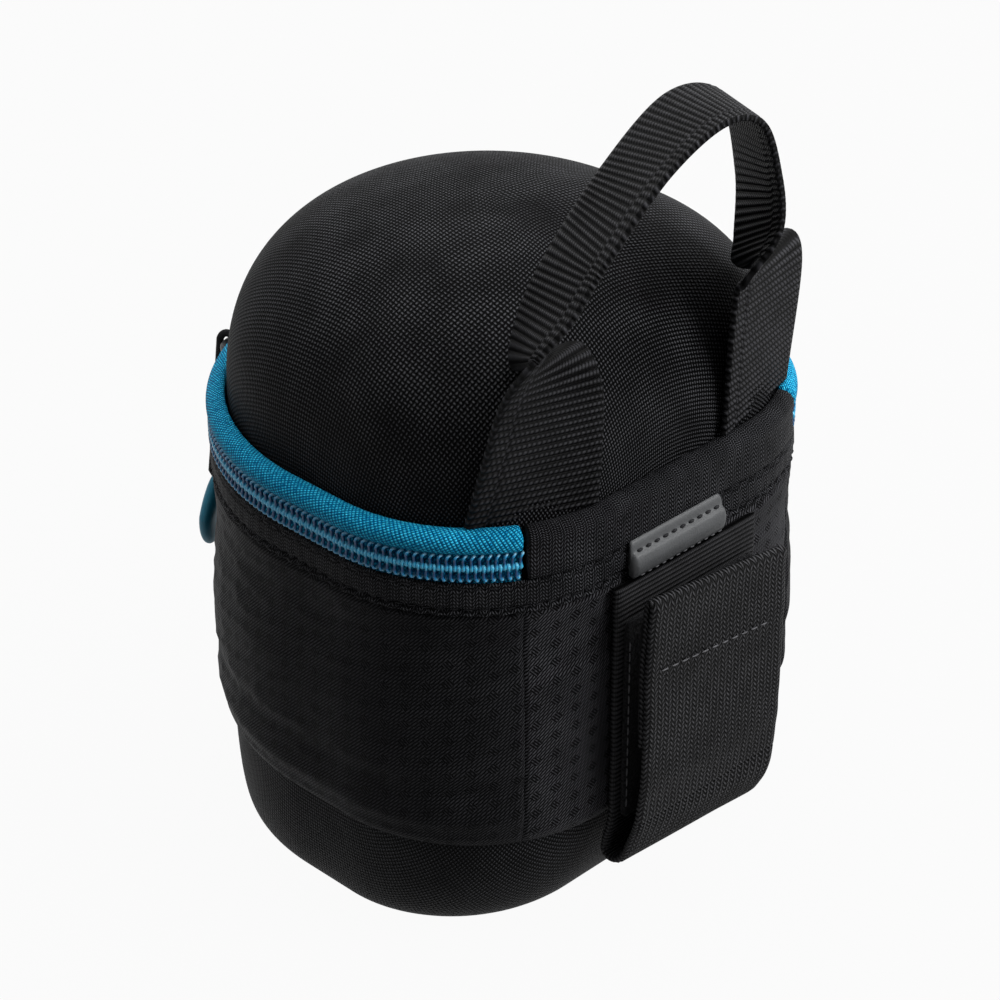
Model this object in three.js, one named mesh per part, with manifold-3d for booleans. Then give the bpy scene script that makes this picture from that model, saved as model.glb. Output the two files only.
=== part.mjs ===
// Lens pouch: a moulded dome lid on a moulded cup, closed by a coil zip with two sliders.
// A fabric band at the back is the hinge, a twisted webbing strap is the handle, and a belt
// strap folds up behind the cup.
// Millimetres, +Z up. The floor is z = 0, the zip's front half-circle is centred on the origin,
// the zip faces -Y, and the hinge and the belt strap are on the +Y side.
import * as THREE from 'three';
import { mergeVertices } from 'three/addons/utils/BufferGeometryUtils.js';
import Module from 'manifold-3d';

const wasm = await Module();
wasm.setup();

// Rim plan, seen from above: a half-circle in front, straight sides, round back corners
const rim_radius = 54;
const back_y = 48.4;
const back_corner_radius = 35.3;
const arc_step_degrees = 7.5;
const shell_steps = 9;
const inside_steps = 7;

// Heights that the whole pouch follows
const zip_z = 87.6;
const zip_half_height = 3;
const rim_band_height = 6.8;
const sleeve_bottom_z = 26.8;

// Clearances
const fabric_gap = 0.3;
const seam_gap = 0.3;

// Moulded cup, its lining and its floor pad
const cup_inset = 2.6;
const cup_wall = 2.5;
const cup_round_width = 8.8;
const cup_round_height = 30.2;
const cup_lean = 9.4;
const cup_top_below_zip = 4.4;
const lining_thickness = 0.9;
const floor_pad_thickness = 3.5;
const floor_pad_taper = 1;

// Padded sleeve around the cup
const sleeve_inset = 0.3;
const sleeve_thickness = 0.9;
const sleeve_edge_thickness = 0.8;
const sleeve_swell = 1;
const foam_thickness = 0.8;
const foam_bottom_margin = 7.4;
const foam_top_margin = 16.5;

// Bands and bindings at the rim
const rim_band_thickness = 1.1;
const binding_thickness = 1.4;
const zip_end_turn_degrees = 29.3;

// Zip
const coil_depth = 1.6;
const coil_round = 0.5;
const coil_split = 0.16;
const tape_thickness = 0.7;
const tape_lower_depth = 7;
const roll_height = 3.9;
const roll_swell = 0.25;

// Dome lid
const dome_inset = 3.95;
const dome_height = 37.5;
const dome_fullness = 2.42;
const dome_lean = 4.5;
const dome_wall = 2.5;
const dome_skirt = 4.4;

// Handle webbing
const handle_width = 25;
const handle_thickness = 1.6;
const handle_inset = 2.6;
const handle_rise = 67;
const handle_half_span = 40;
const handle_right_foot = 34.2;
const handle_left_foot = -26.7;
const handle_foot_gap = 0.5;

// Edges of the twisted handle between its feet, from the right foot to the left foot: across
// the pouch as a share of the half span, back from the seam as a share of the webbing's width,
// and up from the seam as a share of the rise
const handle_near_edge_shares = [
  [1.08, -0.15, 0.24], [1.07, 0.00, 0.42], [1.03, 0.16, 0.53], [0.95, 0.26, 0.60],
  [0.85, 0.30, 0.65], [0.74, 0.31, 0.72], [0.61, 0.30, 0.78], [0.26, 0.29, 0.93],
  [-0.09, 0.29, 1.00], [-0.34, 0.29, 0.95], [-0.45, 0.31, 0.78], [-0.48, 0.31, 0.65],
  [-0.45, 0.26, 0.57], [-0.42, 0.19, 0.52], [-0.38, 0.12, 0.46], [-0.37, 0.06, 0.40],
];
const handle_far_edge_shares = [
  [0.47, 0.01, 0.19], [0.46, -0.02, 0.34], [0.47, -0.20, 0.43], [0.59, -0.38, 0.40],
  [0.74, -0.41, 0.40], [0.68, -0.48, 0.49], [0.49, -0.56, 0.60], [0.09, -0.60, 0.79],
  [-0.34, -0.60, 0.93], [-0.66, -0.54, 0.88], [-0.76, -0.48, 0.65], [-0.74, -0.44, 0.46],
  [-0.75, -0.46, 0.38], [-0.85, -0.39, 0.36], [-0.96, -0.28, 0.45], [-0.98, -0.15, 0.38],
];
const handle_rows = 64;
const handle_columns = 4;
const handle_curve_tension = 0.5;

// Belt strap, its flap and the touch fastener between them
const belt_width = 38;
const belt_thickness = 1.5;
const belt_gap = 6.4;
const belt_top_below_zip = 10.2;
const belt_low_z = 17;
const belt_fold_z = 28.7;
const flap_top_z = 75.8;
const flap_slant_share = 0.13;
const flap_hem_height = 31;
const flap_hem_thickness = 1.2;
const loop_patch_height = 43;
const hook_patch_height = 24;
const patch_side_margin = 1;
const patch_top_margin = 5.6;
const loop_patch_thickness = 1.3;
const hook_patch_thickness = 1;
const patch_seat_gap = 0.2;
const fold_steps = 24;

// Middle line of the strap's fold, from the leg to the flap: back as a share of the way from
// leg to flap, and up as a share of the way from the strap's lowest point to the flap
const fold_line_shares = [
  [0, 0.75], [0, 0.5], [-0.02, 0.24], [0.06, 0.05], [0.26, 0], [0.55, 0.16], [0.82, 0.48],
  [0.97, 0.78], [1, 1],
];

// Leatherette tab above the strap's top end
const tab_width = 25;
const tab_shift = 2.4;
const tab_height = 6.6;
const tab_thickness = 1.2;
const tab_swell = 0.6;

// Sliders and their pulls
const slider_length = 10.4;
const slider_width = 8;
const slider_tail_width = 6.4;
const slider_plate = 1.3;
const slider_clearance = 0.4;
const slider_corner = 1.2;
const bridge_length = 7.6;
const bridge_width = 1.4;
const bridge_bar = 1.2;
const bridge_rise = 2.3;
const slider_right_degrees = -73;
const slider_gap = 0.9;
const pull_cord_diameter = 1.5;
const pull_cord_gap = 0.2;
const pull_cord_sides = 8;
const pull_loop_steps = 8;
const pull_length = 48.5;
const pull_rest_degrees = 8;
const grip_length = 17;
const grip_width = 9;
const grip_thickness = 4;
const grip_neck = 4.4;
const grip_sides = 16;

// Heights and levels worked out from the sizes above
const coil_bottom_z = zip_z - zip_half_height;
const coil_top_z = zip_z + zip_half_height;
const rim_band_bottom_z = coil_bottom_z - rim_band_height;
const sleeve_top_z = rim_band_bottom_z - seam_gap;
const cup_top_z = zip_z - cup_top_below_zip;
const seam_z = coil_top_z + roll_height - roll_swell;
const foam_inset = sleeve_inset + sleeve_thickness + fabric_gap;
const lining_inset = cup_inset + cup_wall + fabric_gap;
const tape_inset = coil_depth + fabric_gap;

const vector = (x, y, z) => new THREE.Vector3(x, y, z);

// One closed body from loose triangles: shared corners merged, slivers dropped, faces outwards
function closedBody(geometry) {
  const bare = geometry.index ? geometry.toNonIndexed() : geometry.clone();
  for (const name of Object.keys(bare.attributes)) {
    if (name !== 'position') bare.deleteAttribute(name);
  }
  const merged = mergeVertices(bare);
  const source = merged.index.array;
  const kept = [];
  for (let i = 0; i < source.length; i += 3) {
    const [a, b, c] = [source[i], source[i + 1], source[i + 2]];
    if (a !== b && b !== c && c !== a) kept.push(a, b, c);
  }
  const corner = (i) => new THREE.Vector3().fromBufferAttribute(merged.attributes.position, i);
  let volume = 0;
  for (let i = 0; i < kept.length; i += 3) {
    volume += corner(kept[i]).dot(corner(kept[i + 1]).cross(corner(kept[i + 2])));
  }
  if (volume < 0) kept.reverse();
  merged.setIndex(kept);
  merged.computeVertexNormals();
  return merged;
}

// A body whose skin is a grid of rows: each row is a list of points, and all have one length
function gridBody(rows, { closedRows = false, closedColumns = false, startPole, endPole } = {}) {
  const points = rows.flat();
  const columns = rows[0].length;
  const triangles = [];
  const at = (row, column) => (row % rows.length) * columns + (column % columns);
  const rowSteps = closedRows ? rows.length : rows.length - 1;
  const columnSteps = closedColumns ? columns : columns - 1;
  for (let row = 0; row < rowSteps; row += 1) {
    for (let column = 0; column < columnSteps; column += 1) {
      const [a, b] = [at(row, column), at(row, column + 1)];
      const [c, d] = [at(row + 1, column + 1), at(row + 1, column)];
      triangles.push(a, b, c, a, c, d);
    }
  }
  const capWithPole = (pole, row, flip) => {
    const centre = points.push(pole) - 1;
    for (let column = 0; column < columnSteps; column += 1) {
      const [a, b] = [at(row, column), at(row, column + 1)];
      triangles.push(...(flip ? [centre, b, a] : [centre, a, b]));
    }
  };
  const capFlat = (row, winding) => {
    const first = rows[row][0];
    const along = rows[row === 0 ? 1 : row - 1][0].clone().sub(first).normalize();
    const side = Math.abs(along.z) > Math.SQRT1_2 ? vector(1, 0, 0) : vector(0, 0, 1);
    side.cross(along).normalize();
    const rise = along.clone().cross(side);
    const outline = rows[row].map((p) => {
      const offset = p.clone().sub(first);
      return new THREE.Vector2(offset.dot(side), offset.dot(rise));
    });
    const wanted = winding * Math.sign(THREE.ShapeUtils.area(outline));
    for (const [i, j, k] of THREE.ShapeUtils.triangulateShape(outline, [])) {
      const turn = THREE.ShapeUtils.area([outline[i], outline[j], outline[k]]);
      const [a, b, c] = [at(row, i), at(row, j), at(row, k)];
      triangles.push(...(Math.sign(turn) === wanted ? [a, b, c] : [c, b, a]));
    }
  };
  if (startPole) capWithPole(startPole, 0, true);
  if (endPole) capWithPole(endPole, rows.length - 1, false);
  if (!closedRows && !startPole) capFlat(0, -1);
  if (!closedRows && !endPole) capFlat(rows.length - 1, 1);
  const geometry = new THREE.BufferGeometry();
  const numbers = points.flatMap((p) => [p.x, p.y, p.z]);
  geometry.setAttribute('position', new THREE.Float32BufferAttribute(numbers, 3));
  geometry.setIndex(triangles);
  return closedBody(geometry);
}

// Point of the rim plan: distance is measured along the rim from the middle of the back,
// towards +X; inset is measured inwards, square to the rim
const back_half = rim_radius - back_corner_radius;
const corner_centre_y = back_y - back_corner_radius;
const corner_length = back_corner_radius * Math.PI / 2;
const front_start = back_half + corner_length + corner_centre_y;
const rim_half_length = front_start + rim_radius * Math.PI / 2;

function rimPoint(distance, inset, z) {
  const side = Math.sign(distance) || 1;
  const along = Math.abs(distance);
  if (along <= back_half) return vector(distance, back_y - inset, z);
  if (along <= back_half + corner_length) {
    const turn = (along - back_half) / back_corner_radius;
    const reach = back_corner_radius - inset;
    const x = back_half + reach * Math.sin(turn);
    return vector(side * x, corner_centre_y + reach * Math.cos(turn), z);
  }
  if (along <= front_start) {
    const y = corner_centre_y - (along - back_half - corner_length);
    return vector(side * (rim_radius - inset), y, z);
  }
  const turn = (along - front_start) / rim_radius;
  const reach = rim_radius - inset;
  return vector(side * reach * Math.cos(turn), -reach * Math.sin(turn), z);
}

// Distances along the rim where its outline has a corner of the faceted plan
const arc_step = THREE.MathUtils.degToRad(arc_step_degrees);

function rimStops() {
  const half = [0, back_half];
  const cornerSteps = Math.ceil(Math.PI / 2 / arc_step);
  for (let i = 1; i <= cornerSteps; i += 1) half.push(back_half + corner_length * i / cornerSteps);
  half.push(front_start);
  const frontSteps = Math.ceil(Math.PI / 2 / arc_step);
  for (let i = 1; i <= frontSteps; i += 1) {
    half.push(front_start + rim_radius * Math.PI / 2 * i / frontSteps);
  }
  const mirrored = half.slice(1, -1).map((distance) => -distance).reverse();
  return [...mirrored, ...half];
}

const rim_stops = rimStops();
const zip_end_distance = back_half + back_corner_radius * THREE.MathUtils.degToRad(zip_end_turn_degrees);

// Stops of the stretch from one zip end round the back, and from it round the front
function backStops() {
  const limit = zip_end_distance - seam_gap / 2;
  return [-limit, ...rim_stops.filter((distance) => Math.abs(distance) < limit), limit];
}

function frontStops() {
  const limit = zip_end_distance + seam_gap / 2;
  const right = rim_stops.filter((distance) => distance > limit);
  const left = rim_stops.filter((distance) => distance < -limit);
  return [limit, ...right, ...left, -limit];
}

// A band that follows the rim: the profile is a closed outline of [inset, z] points
function rimBand(profile, stops) {
  const closedRows = stops === rim_stops;
  const rows = stops.map((stop) => profile.map(([inset, z]) => rimPoint(stop, inset, z)));
  return gridBody(rows, { closedRows, closedColumns: true });
}

// Rings of a moulded shell, from the middle of its outside to the middle of its inside
function mouldedShell(outer, inner) {
  const ring = ({ inset, z, share = 1, shift = 0 }) => rim_stops.map((stop) => {
    const p = rimPoint(stop, inset, z);
    return vector(p.x * share, p.y * share + shift, z);
  });
  const rows = [...outer, ...inner].map(ring);
  const centre = (level) => vector(0, level.shift ?? 0, level.z);
  return gridBody(rows, {
    closedColumns: true,
    startPole: centre(outer[0]),
    endPole: centre(inner.at(-1)),
  });
}

// Levels of a cup's side: a flat floor, a tall round edge that leans forward towards the floor,
// and an upright wall
function cupLevels(inset, floor_z, top_z, round_width, round_height, steps) {
  const levels = [];
  for (let i = 0; i <= steps; i += 1) {
    const turn = Math.PI / 2 * i / steps;
    levels.push({
      inset: inset + round_width * (1 - Math.sin(turn)),
      z: floor_z + round_height * (1 - Math.cos(turn)),
      shift: -cup_lean * (1 - Math.sin(turn)),
    });
  }
  levels.push({ inset, z: top_z });
  return levels;
}

// Levels of a dome: a superellipse in height that draws the plan in and leans it forward
function domeLevels(inset, foot_z, height, steps) {
  const levels = [];
  for (let i = 0; i <= steps; i += 1) {
    const climb = Math.sin(Math.PI / 2 * i / steps);
    const share = (1 - climb ** dome_fullness) ** (1 / dome_fullness);
    levels.push({ inset, z: foot_z + height * climb, share, shift: -dome_lean * (1 - share) });
  }
  return levels.reverse();
}

// Moulded cup: foam shell covered in woven fabric, open at the top
function bodyShell() {
  const outer = cupLevels(cup_inset, 0, cup_top_z, cup_round_width, cup_round_height, inside_steps);
  const inner = cupLevels(cup_inset + cup_wall, cup_wall, cup_top_z,
    cup_round_width - cup_wall / 2, cup_round_height - cup_wall, inside_steps);
  return mouldedShell(outer, inner.reverse());
}

// Soft lining inside the cup, a little taller than the shell
function bodyLining() {
  const round_width = cup_round_width - cup_wall / 2;
  const floor_z = cup_wall + fabric_gap;
  const round_height = cup_round_height - floor_z;
  const outer = cupLevels(lining_inset, floor_z, cup_top_z, round_width, round_height, inside_steps);
  const inner = cupLevels(lining_inset + lining_thickness, floor_z + lining_thickness, cup_top_z,
    round_width, round_height, inside_steps);
  return mouldedShell(outer, inner.reverse());
}

// Loose foam pad on the cup's floor
const floor_pad_inset = lining_inset + lining_thickness + cup_round_width - cup_wall / 2
  + fabric_gap;
const floor_pad_z = cup_wall + lining_thickness + fabric_gap * 2;

function bottomPad() {
  const shift = -cup_lean;
  const top_inset = floor_pad_inset + floor_pad_taper;
  return mouldedShell(
    [{ inset: floor_pad_inset, z: floor_pad_z, shift }],
    [{ inset: top_inset, z: floor_pad_z + floor_pad_thickness, shift }],
  );
}

// Foam under the sleeve, all round the cup
function sleeveFoam() {
  const bottom = sleeve_bottom_z + foam_bottom_margin;
  const top = sleeve_top_z - foam_top_margin;
  return rimBand([
    [foam_inset, bottom], [foam_inset, top],
    [foam_inset + foam_thickness, top], [foam_inset + foam_thickness, bottom],
  ], rim_stops);
}

// Outer side of the padded sleeve: [share of its height, share of its swell] from top to bottom
const sleeve_shares = [
  [1, 0.5], [0.9, 1], [0.8, 0.8], [0.68, 0], [0.5, -0.4], [0.3, -0.9], [0.14, -0.7], [0.05, 0.4],
  [0, 1.2],
];

// The sleeve's closed profile; its outside swells out no further than the least share, and its
// lower edge is drawn in against the cup
function sleeveProfile(least_share) {
  const outside = sleeve_shares.map(([up, swell]) => [
    sleeve_inset + sleeve_swell * Math.max(swell, least_share),
    sleeve_bottom_z + (sleeve_top_z - sleeve_bottom_z) * up,
  ]);
  const inside = outside.map(([inset, z]) => [
    Math.max(sleeve_inset + sleeve_thickness, inset + sleeve_edge_thickness), z,
  ]);
  return [...outside, ...inside.reverse()];
}

function sleeveFront() {
  return rimBand(sleeveProfile(-1), frontStops());
}

function sleeveBack() {
  return rimBand(sleeveProfile(0), backStops());
}

// Twill band stitched round the body under the zip
function rimBandPiece() {
  const outside = sleeve_inset;
  const inside = sleeve_inset + rim_band_thickness;
  const top = coil_bottom_z - seam_gap;
  const middle = (top + rim_band_bottom_z) / 2;
  const edge = rim_band_thickness / 4;
  return rimBand([
    [outside + edge, top], [outside, middle], [outside, rim_band_bottom_z],
    [inside, rim_band_bottom_z], [inside, top],
  ], rim_stops);
}

// Fabric binding over the raw edges inside the mouth of the body
function baseBinding() {
  const outside = cup_inset;
  const inside = lining_inset + lining_thickness;
  const bottom = cup_top_z + fabric_gap;
  const top = bottom + binding_thickness;
  const edge = binding_thickness / 4;
  return rimBand([
    [outside, bottom], [outside + edge, top], [inside - edge, top], [inside, bottom],
  ], rim_stops);
}

// The same binding inside the mouth of the lid
const skirt_bottom_z = seam_z - dome_skirt;
const lid_lining_inset = dome_inset + dome_wall + fabric_gap;

function lidBinding() {
  const outside = dome_inset;
  const inside = lid_lining_inset + lining_thickness;
  const top = skirt_bottom_z - fabric_gap;
  const bottom = top - binding_thickness;
  const edge = binding_thickness / 4;
  return rimBand([
    [outside, top], [outside + edge, bottom], [inside - edge, bottom], [inside, top],
  ], rim_stops);
}

// One row of zip coil: side is 1 above the parting line and -1 below it
function zipCoil(side) {
  const near = zip_z + side * coil_split;
  const far = zip_z + side * (zip_half_height - fabric_gap / 2);
  const round = side * coil_round;
  return rimBand([
    [coil_round, near], [0, near + round], [0, far - round], [coil_round, far],
    [coil_depth, far], [coil_depth, near],
  ], frontStops());
}

// Tape under the lower coil, running down behind the twill band
function zipTapeLower() {
  const outside = tape_inset;
  const inside = tape_inset + tape_thickness;
  const top = zip_z - coil_split;
  const bottom = top - tape_lower_depth;
  return rimBand([[outside, top], [outside, bottom], [inside, bottom], [inside, top]], frontStops());
}

// Profile of the rounded roll above the zip, from its lower outside edge up to the dome
const roll_inside = dome_inset - fabric_gap;
const roll_outline_shares = [[0, 0.1], [-1, 0.38], [1.2, 0.72], [5, 0.94]];

function rollOutline() {
  return roll_outline_shares.map(([out, up]) => [
    roll_swell * (1 + out), coil_top_z + roll_height * up,
  ]);
}

// Tape above the zip: flat behind the upper coil, then rolled over the seam up to the dome
function zipTapeUpper() {
  const bottom = zip_z + coil_split;
  const ledge = coil_top_z + fabric_gap / 2;
  return rimBand([
    [tape_inset, bottom], [tape_inset, ledge], ...rollOutline(), [roll_inside, seam_z],
    [roll_inside, ledge], [tape_inset + tape_thickness, ledge], [tape_inset + tape_thickness, bottom],
  ], frontStops());
}

// Twill hinge band at the back: the roll above the fold line, and the flat part below it
function hingeBandUpper() {
  const bottom = zip_z + coil_split;
  return rimBand([
    [coil_round, bottom], [0, bottom + coil_round], ...rollOutline(), [roll_inside, seam_z],
    [roll_inside, coil_top_z], [tape_inset, bottom + coil_round], [tape_inset, bottom],
  ], backStops());
}

function hingeBandLower() {
  const top = zip_z - coil_split;
  return rimBand([
    [coil_round, top], [0, top - coil_round], [0, coil_bottom_z], [tape_inset, coil_bottom_z],
    [tape_inset, top],
  ], backStops());
}

// Dome lid: moulded shell with a short skirt inside the roll
function lidShell() {
  const inset = dome_inset + dome_wall;
  const outer = domeLevels(dome_inset, seam_z, dome_height, shell_steps);
  outer.push({ inset: dome_inset, z: skirt_bottom_z });
  const inner = domeLevels(inset, seam_z, dome_height - dome_wall, inside_steps);
  inner.push({ inset, z: skirt_bottom_z });
  return mouldedShell(outer, inner.reverse());
}

function lidLining() {
  const outer_height = dome_height - dome_wall - fabric_gap;
  const inner_inset = lid_lining_inset + lining_thickness;
  const inner_height = outer_height - lining_thickness;
  const outer = domeLevels(lid_lining_inset, seam_z, outer_height, inside_steps);
  outer.push({ inset: lid_lining_inset, z: skirt_bottom_z });
  const inner = domeLevels(inner_inset, seam_z, inner_height, inside_steps);
  inner.push({ inset: inner_inset, z: skirt_bottom_z });
  return mouldedShell(outer, inner.reverse());
}

// Handle webbing: its feet stand in the seam along the rim, and it twists a turn at each foot
function handleWebbing() {
  const foot_z = seam_z + handle_foot_gap;
  const half = handle_width / 2 * back_corner_radius / (back_corner_radius - handle_inset);
  const between = (from, to, share) => from + (to - from) * share;
  const place = ([across, back, up]) => vector(
    handle_half_span * across,
    back_y - dome_inset + handle_width * back,
    seam_z + handle_rise * up,
  );
  const near = handle_near_edge_shares.map(place);
  const far = handle_far_edge_shares.map(place);
  const curves = [];
  for (let column = 0; column <= handle_columns; column += 1) {
    const share = column / handle_columns;
    const right = between(handle_right_foot + half, handle_right_foot - half, share);
    const left = between(handle_left_foot + half, handle_left_foot - half, share);
    curves.push(new THREE.CatmullRomCurve3([
      rimPoint(right, handle_inset, foot_z),
      ...near.map((point, i) => point.clone().lerp(far[i], share)),
      rimPoint(left, handle_inset, foot_z),
    ], false, 'catmullrom', handle_curve_tension));
  }
  const rows = [];
  for (let row = 0; row <= handle_rows; row += 1) {
    const time = row / handle_rows;
    const middle = curves.map((curve) => curve.getPoint(time));
    const along = curves.map((curve) => curve.getTangent(time));
    const faces = middle.map((point, i) => {
      const before = middle[Math.max(i - 1, 0)];
      const after = middle[Math.min(i + 1, handle_columns)];
      return after.clone().sub(before).cross(along[i]).setLength(handle_thickness / 2);
    });
    const front = middle.map((point, i) => point.clone().add(faces[i]));
    const rear = middle.map((point, i) => point.clone().sub(faces[i])).reverse();
    rows.push([...front, ...rear]);
  }
  return gridBody(rows, { closedColumns: true });
}

// A flat shape drawn in the Y-Z plane and run along X, centred on x = 0
function runAlongX(outline, width) {
  const geometry = new THREE.ExtrudeGeometry(outline, { depth: width, bevelEnabled: false });
  geometry.translate(0, 0, -width / 2);
  geometry.applyMatrix4(new THREE.Matrix4().makeBasis(vector(0, 1, 0), vector(0, 0, 1), vector(1, 0, 0)));
  return closedBody(geometry);
}

function outlineOf(points) {
  const outline = new THREE.Shape();
  points.forEach(([y, z], i) => (i ? outline.lineTo(y, z) : outline.moveTo(y, z)));
  outline.closePath();
  return outline;
}

// Belt strap: the leg against the back and the fold at the bottom, drawn as a line with the
// webbing's thickness laid off square to it on both sides
const leg_inner_y = back_y - sleeve_inset + fabric_gap;
const leg_outer_y = leg_inner_y + belt_thickness;
const flap_inner_y = leg_outer_y + belt_gap;
const flap_outer_y = flap_inner_y + belt_thickness;
const belt_top_z = zip_z - belt_top_below_zip;

function beltStrap() {
  const leg_y = (leg_inner_y + leg_outer_y) / 2;
  const flap_y = (flap_inner_y + flap_outer_y) / 2;
  const middle = fold_line_shares.map(([back, up]) => vector(
    0, leg_y + (flap_y - leg_y) * back, belt_low_z + (belt_fold_z - belt_low_z) * up,
  ));
  const fold = new THREE.CatmullRomCurve3(middle).getPoints(fold_steps);
  const line = [vector(0, leg_y, belt_top_z), ...fold];
  const offset = (side) => line.map((point, i) => {
    const before = line[Math.max(i - 1, 0)];
    const after = line[Math.min(i + 1, line.length - 1)];
    const upright = i === 0 || i === line.length - 1;
    const along = upright ? vector(0, 0, i === 0 ? -1 : 1) : after.clone().sub(before).normalize();
    const reach = side * belt_thickness / 2;
    return [point.y - along.z * reach, point.z + along.y * reach];
  });
  return runAlongX(outlineOf([...offset(1), ...offset(-1).reverse()]), belt_width);
}

// Belt flap: the strap's free leg, its end folded back inside and its top edge slanted
const hem_inner_y = flap_inner_y - flap_hem_thickness;
const flap_bottom_z = belt_fold_z + fabric_gap;

function slanted(geometry) {
  const place = geometry.attributes.position;
  for (let i = 0; i < place.count; i += 1) {
    const up = (place.getZ(i) - flap_bottom_z) / (flap_top_z - flap_bottom_z);
    place.setZ(i, place.getZ(i) + place.getX(i) * flap_slant_share * up);
  }
  return closedBody(geometry);
}

function beltFlap() {
  const hem_z = flap_top_z - flap_hem_height;
  return slanted(runAlongX(outlineOf([
    [flap_inner_y, flap_bottom_z], [flap_outer_y, flap_bottom_z], [flap_outer_y, flap_top_z],
    [hem_inner_y, flap_top_z], [hem_inner_y, hem_z], [flap_inner_y, hem_z],
  ]), belt_width));
}

// Touch fastener: the loop patch on the strap and the hook patch on the flap's folded end
const patch_top_z = flap_top_z - patch_top_margin;
const patch_width = belt_width - patch_side_margin * 2;

function patch(from_y, thickness, height) {
  const to_y = from_y + thickness;
  const bottom = patch_top_z - height;
  return runAlongX(outlineOf([
    [from_y, bottom], [to_y, bottom], [to_y, patch_top_z], [from_y, patch_top_z],
  ]), patch_width);
}

function loopPatch() {
  return patch(leg_outer_y + patch_seat_gap, loop_patch_thickness, loop_patch_height);
}

function hookPatch() {
  const from_y = hem_inner_y - patch_seat_gap - hook_patch_thickness;
  return slanted(patch(from_y, hook_patch_thickness, hook_patch_height));
}

// Leatherette tab: it lies on the twill band above the strap's end and swells a little
function leatherTab() {
  const outer_y = leg_inner_y + tab_thickness;
  const top = coil_bottom_z - seam_gap;
  const bottom = top - tab_height;
  const middle = (top + bottom) / 2;
  const tab = runAlongX(outlineOf([
    [leg_inner_y, bottom], [outer_y, bottom], [outer_y + tab_swell, middle], [outer_y, top],
    [leg_inner_y, top],
  ]), tab_width);
  return tab.translate(tab_shift, 0, 0);
}

function toManifold(geometry) {
  const body = closedBody(geometry);
  return new wasm.Manifold(new wasm.Mesh({
    numProp: 3,
    vertProperties: new Float32Array(body.attributes.position.array),
    triVerts: new Uint32Array(body.index.array),
  }));
}

function fromManifold(manifold) {
  const mesh = manifold.getMesh();
  const geometry = new THREE.BufferGeometry();
  geometry.setAttribute('position', new THREE.BufferAttribute(mesh.vertProperties, 3));
  geometry.setIndex(new THREE.BufferAttribute(mesh.triVerts, 1));
  return closedBody(geometry);
}

// Slider at a turn about the zip's centre: an outer plate with a bridge for the pull. In its
// own frame x runs outwards, y along the zip and z up, from the outside of the coil.
const plate_outside = slider_clearance + slider_plate;
const bar_inside = plate_outside + bridge_rise;

function sliderBody(nose) {
  const half = slider_length / 2;
  const plate_outline = new THREE.Shape();
  plate_outline.moveTo(-half * nose, -slider_tail_width / 2);
  plate_outline.lineTo((half - slider_corner) * nose, -slider_width / 2);
  plate_outline.lineTo(half * nose, -slider_width / 2 + slider_corner);
  plate_outline.lineTo(half * nose, slider_width / 2 - slider_corner);
  plate_outline.lineTo((half - slider_corner) * nose, slider_width / 2);
  plate_outline.lineTo(-half * nose, slider_tail_width / 2);
  plate_outline.closePath();
  const plate = new THREE.ExtrudeGeometry(plate_outline, { depth: slider_plate, bevelEnabled: false });
  const reach = bridge_length / 2;
  const sunk = slider_plate / 2;
  const arch = new THREE.Shape();
  arch.moveTo(-reach, -sunk);
  arch.lineTo(-reach, bridge_rise);
  arch.lineTo(-reach + bridge_bar, bridge_rise + bridge_bar);
  arch.lineTo(reach - bridge_bar, bridge_rise + bridge_bar);
  arch.lineTo(reach, bridge_rise);
  arch.lineTo(reach, -sunk);
  arch.lineTo(reach - bridge_bar, -sunk);
  arch.lineTo(reach - bridge_bar, bridge_rise);
  arch.lineTo(-reach + bridge_bar, bridge_rise);
  arch.lineTo(-reach + bridge_bar, -sunk);
  arch.closePath();
  const bridge = new THREE.ExtrudeGeometry(arch, { depth: bridge_width, bevelEnabled: false });
  bridge.translate(0, 0, -bridge_width / 2);
  bridge.rotateX(Math.PI / 2);
  bridge.translate(0, 0, slider_plate);
  const joined = toManifold(plate).add(toManifold(bridge));
  const body = fromManifold(joined);
  body.translate(0, 0, slider_clearance);
  body.applyMatrix4(new THREE.Matrix4().makeBasis(vector(0, 1, 0), vector(0, 0, 1), vector(1, 0, 0)));
  return closedBody(body);
}

// Pull cord: a loop round the bridge's bar whose two ends go down into the moulded grip
const bar_centre = bar_inside + bridge_bar / 2;
const loop_radius = Math.hypot(bridge_bar, bridge_width) / 2 + pull_cord_gap + pull_cord_diameter / 2;
const grip_top_z = zip_z - pull_length + grip_length;

function pullCord() {
  const foot = grip_top_z + fabric_gap;
  const neck = grip_neck / 4;
  const middle = [];
  middle.push(vector(bar_centre - neck, 0, foot));
  middle.push(vector(bar_centre - loop_radius, 0, zip_z - bridge_width));
  for (let i = 0; i <= pull_loop_steps; i += 1) {
    const turn = Math.PI * i / pull_loop_steps;
    middle.push(vector(
      bar_centre - loop_radius * Math.cos(turn), 0,
      zip_z + loop_radius * Math.sin(turn),
    ));
  }
  middle.push(vector(bar_centre + loop_radius, 0, zip_z - bridge_width));
  middle.push(vector(bar_centre + neck, 0, foot));
  const rows = middle.map((point, i) => {
    const before = middle[Math.max(i - 1, 0)];
    const after = middle[Math.min(i + 1, middle.length - 1)];
    const along = i === 0 || i === middle.length - 1
      ? vector(0, 0, i === 0 ? 1 : -1) : after.clone().sub(before).normalize();
    const side = vector(0, 1, 0);
    const out = along.clone().cross(side);
    return Array.from({ length: pull_cord_sides }, (_, k) => {
      const turn = 2 * Math.PI * k / pull_cord_sides;
      return point.clone()
        .addScaledVector(side, pull_cord_diameter / 2 * Math.cos(turn))
        .addScaledVector(out, pull_cord_diameter / 2 * Math.sin(turn));
    });
  });
  return gridBody(rows, { closedColumns: true });
}

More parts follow.
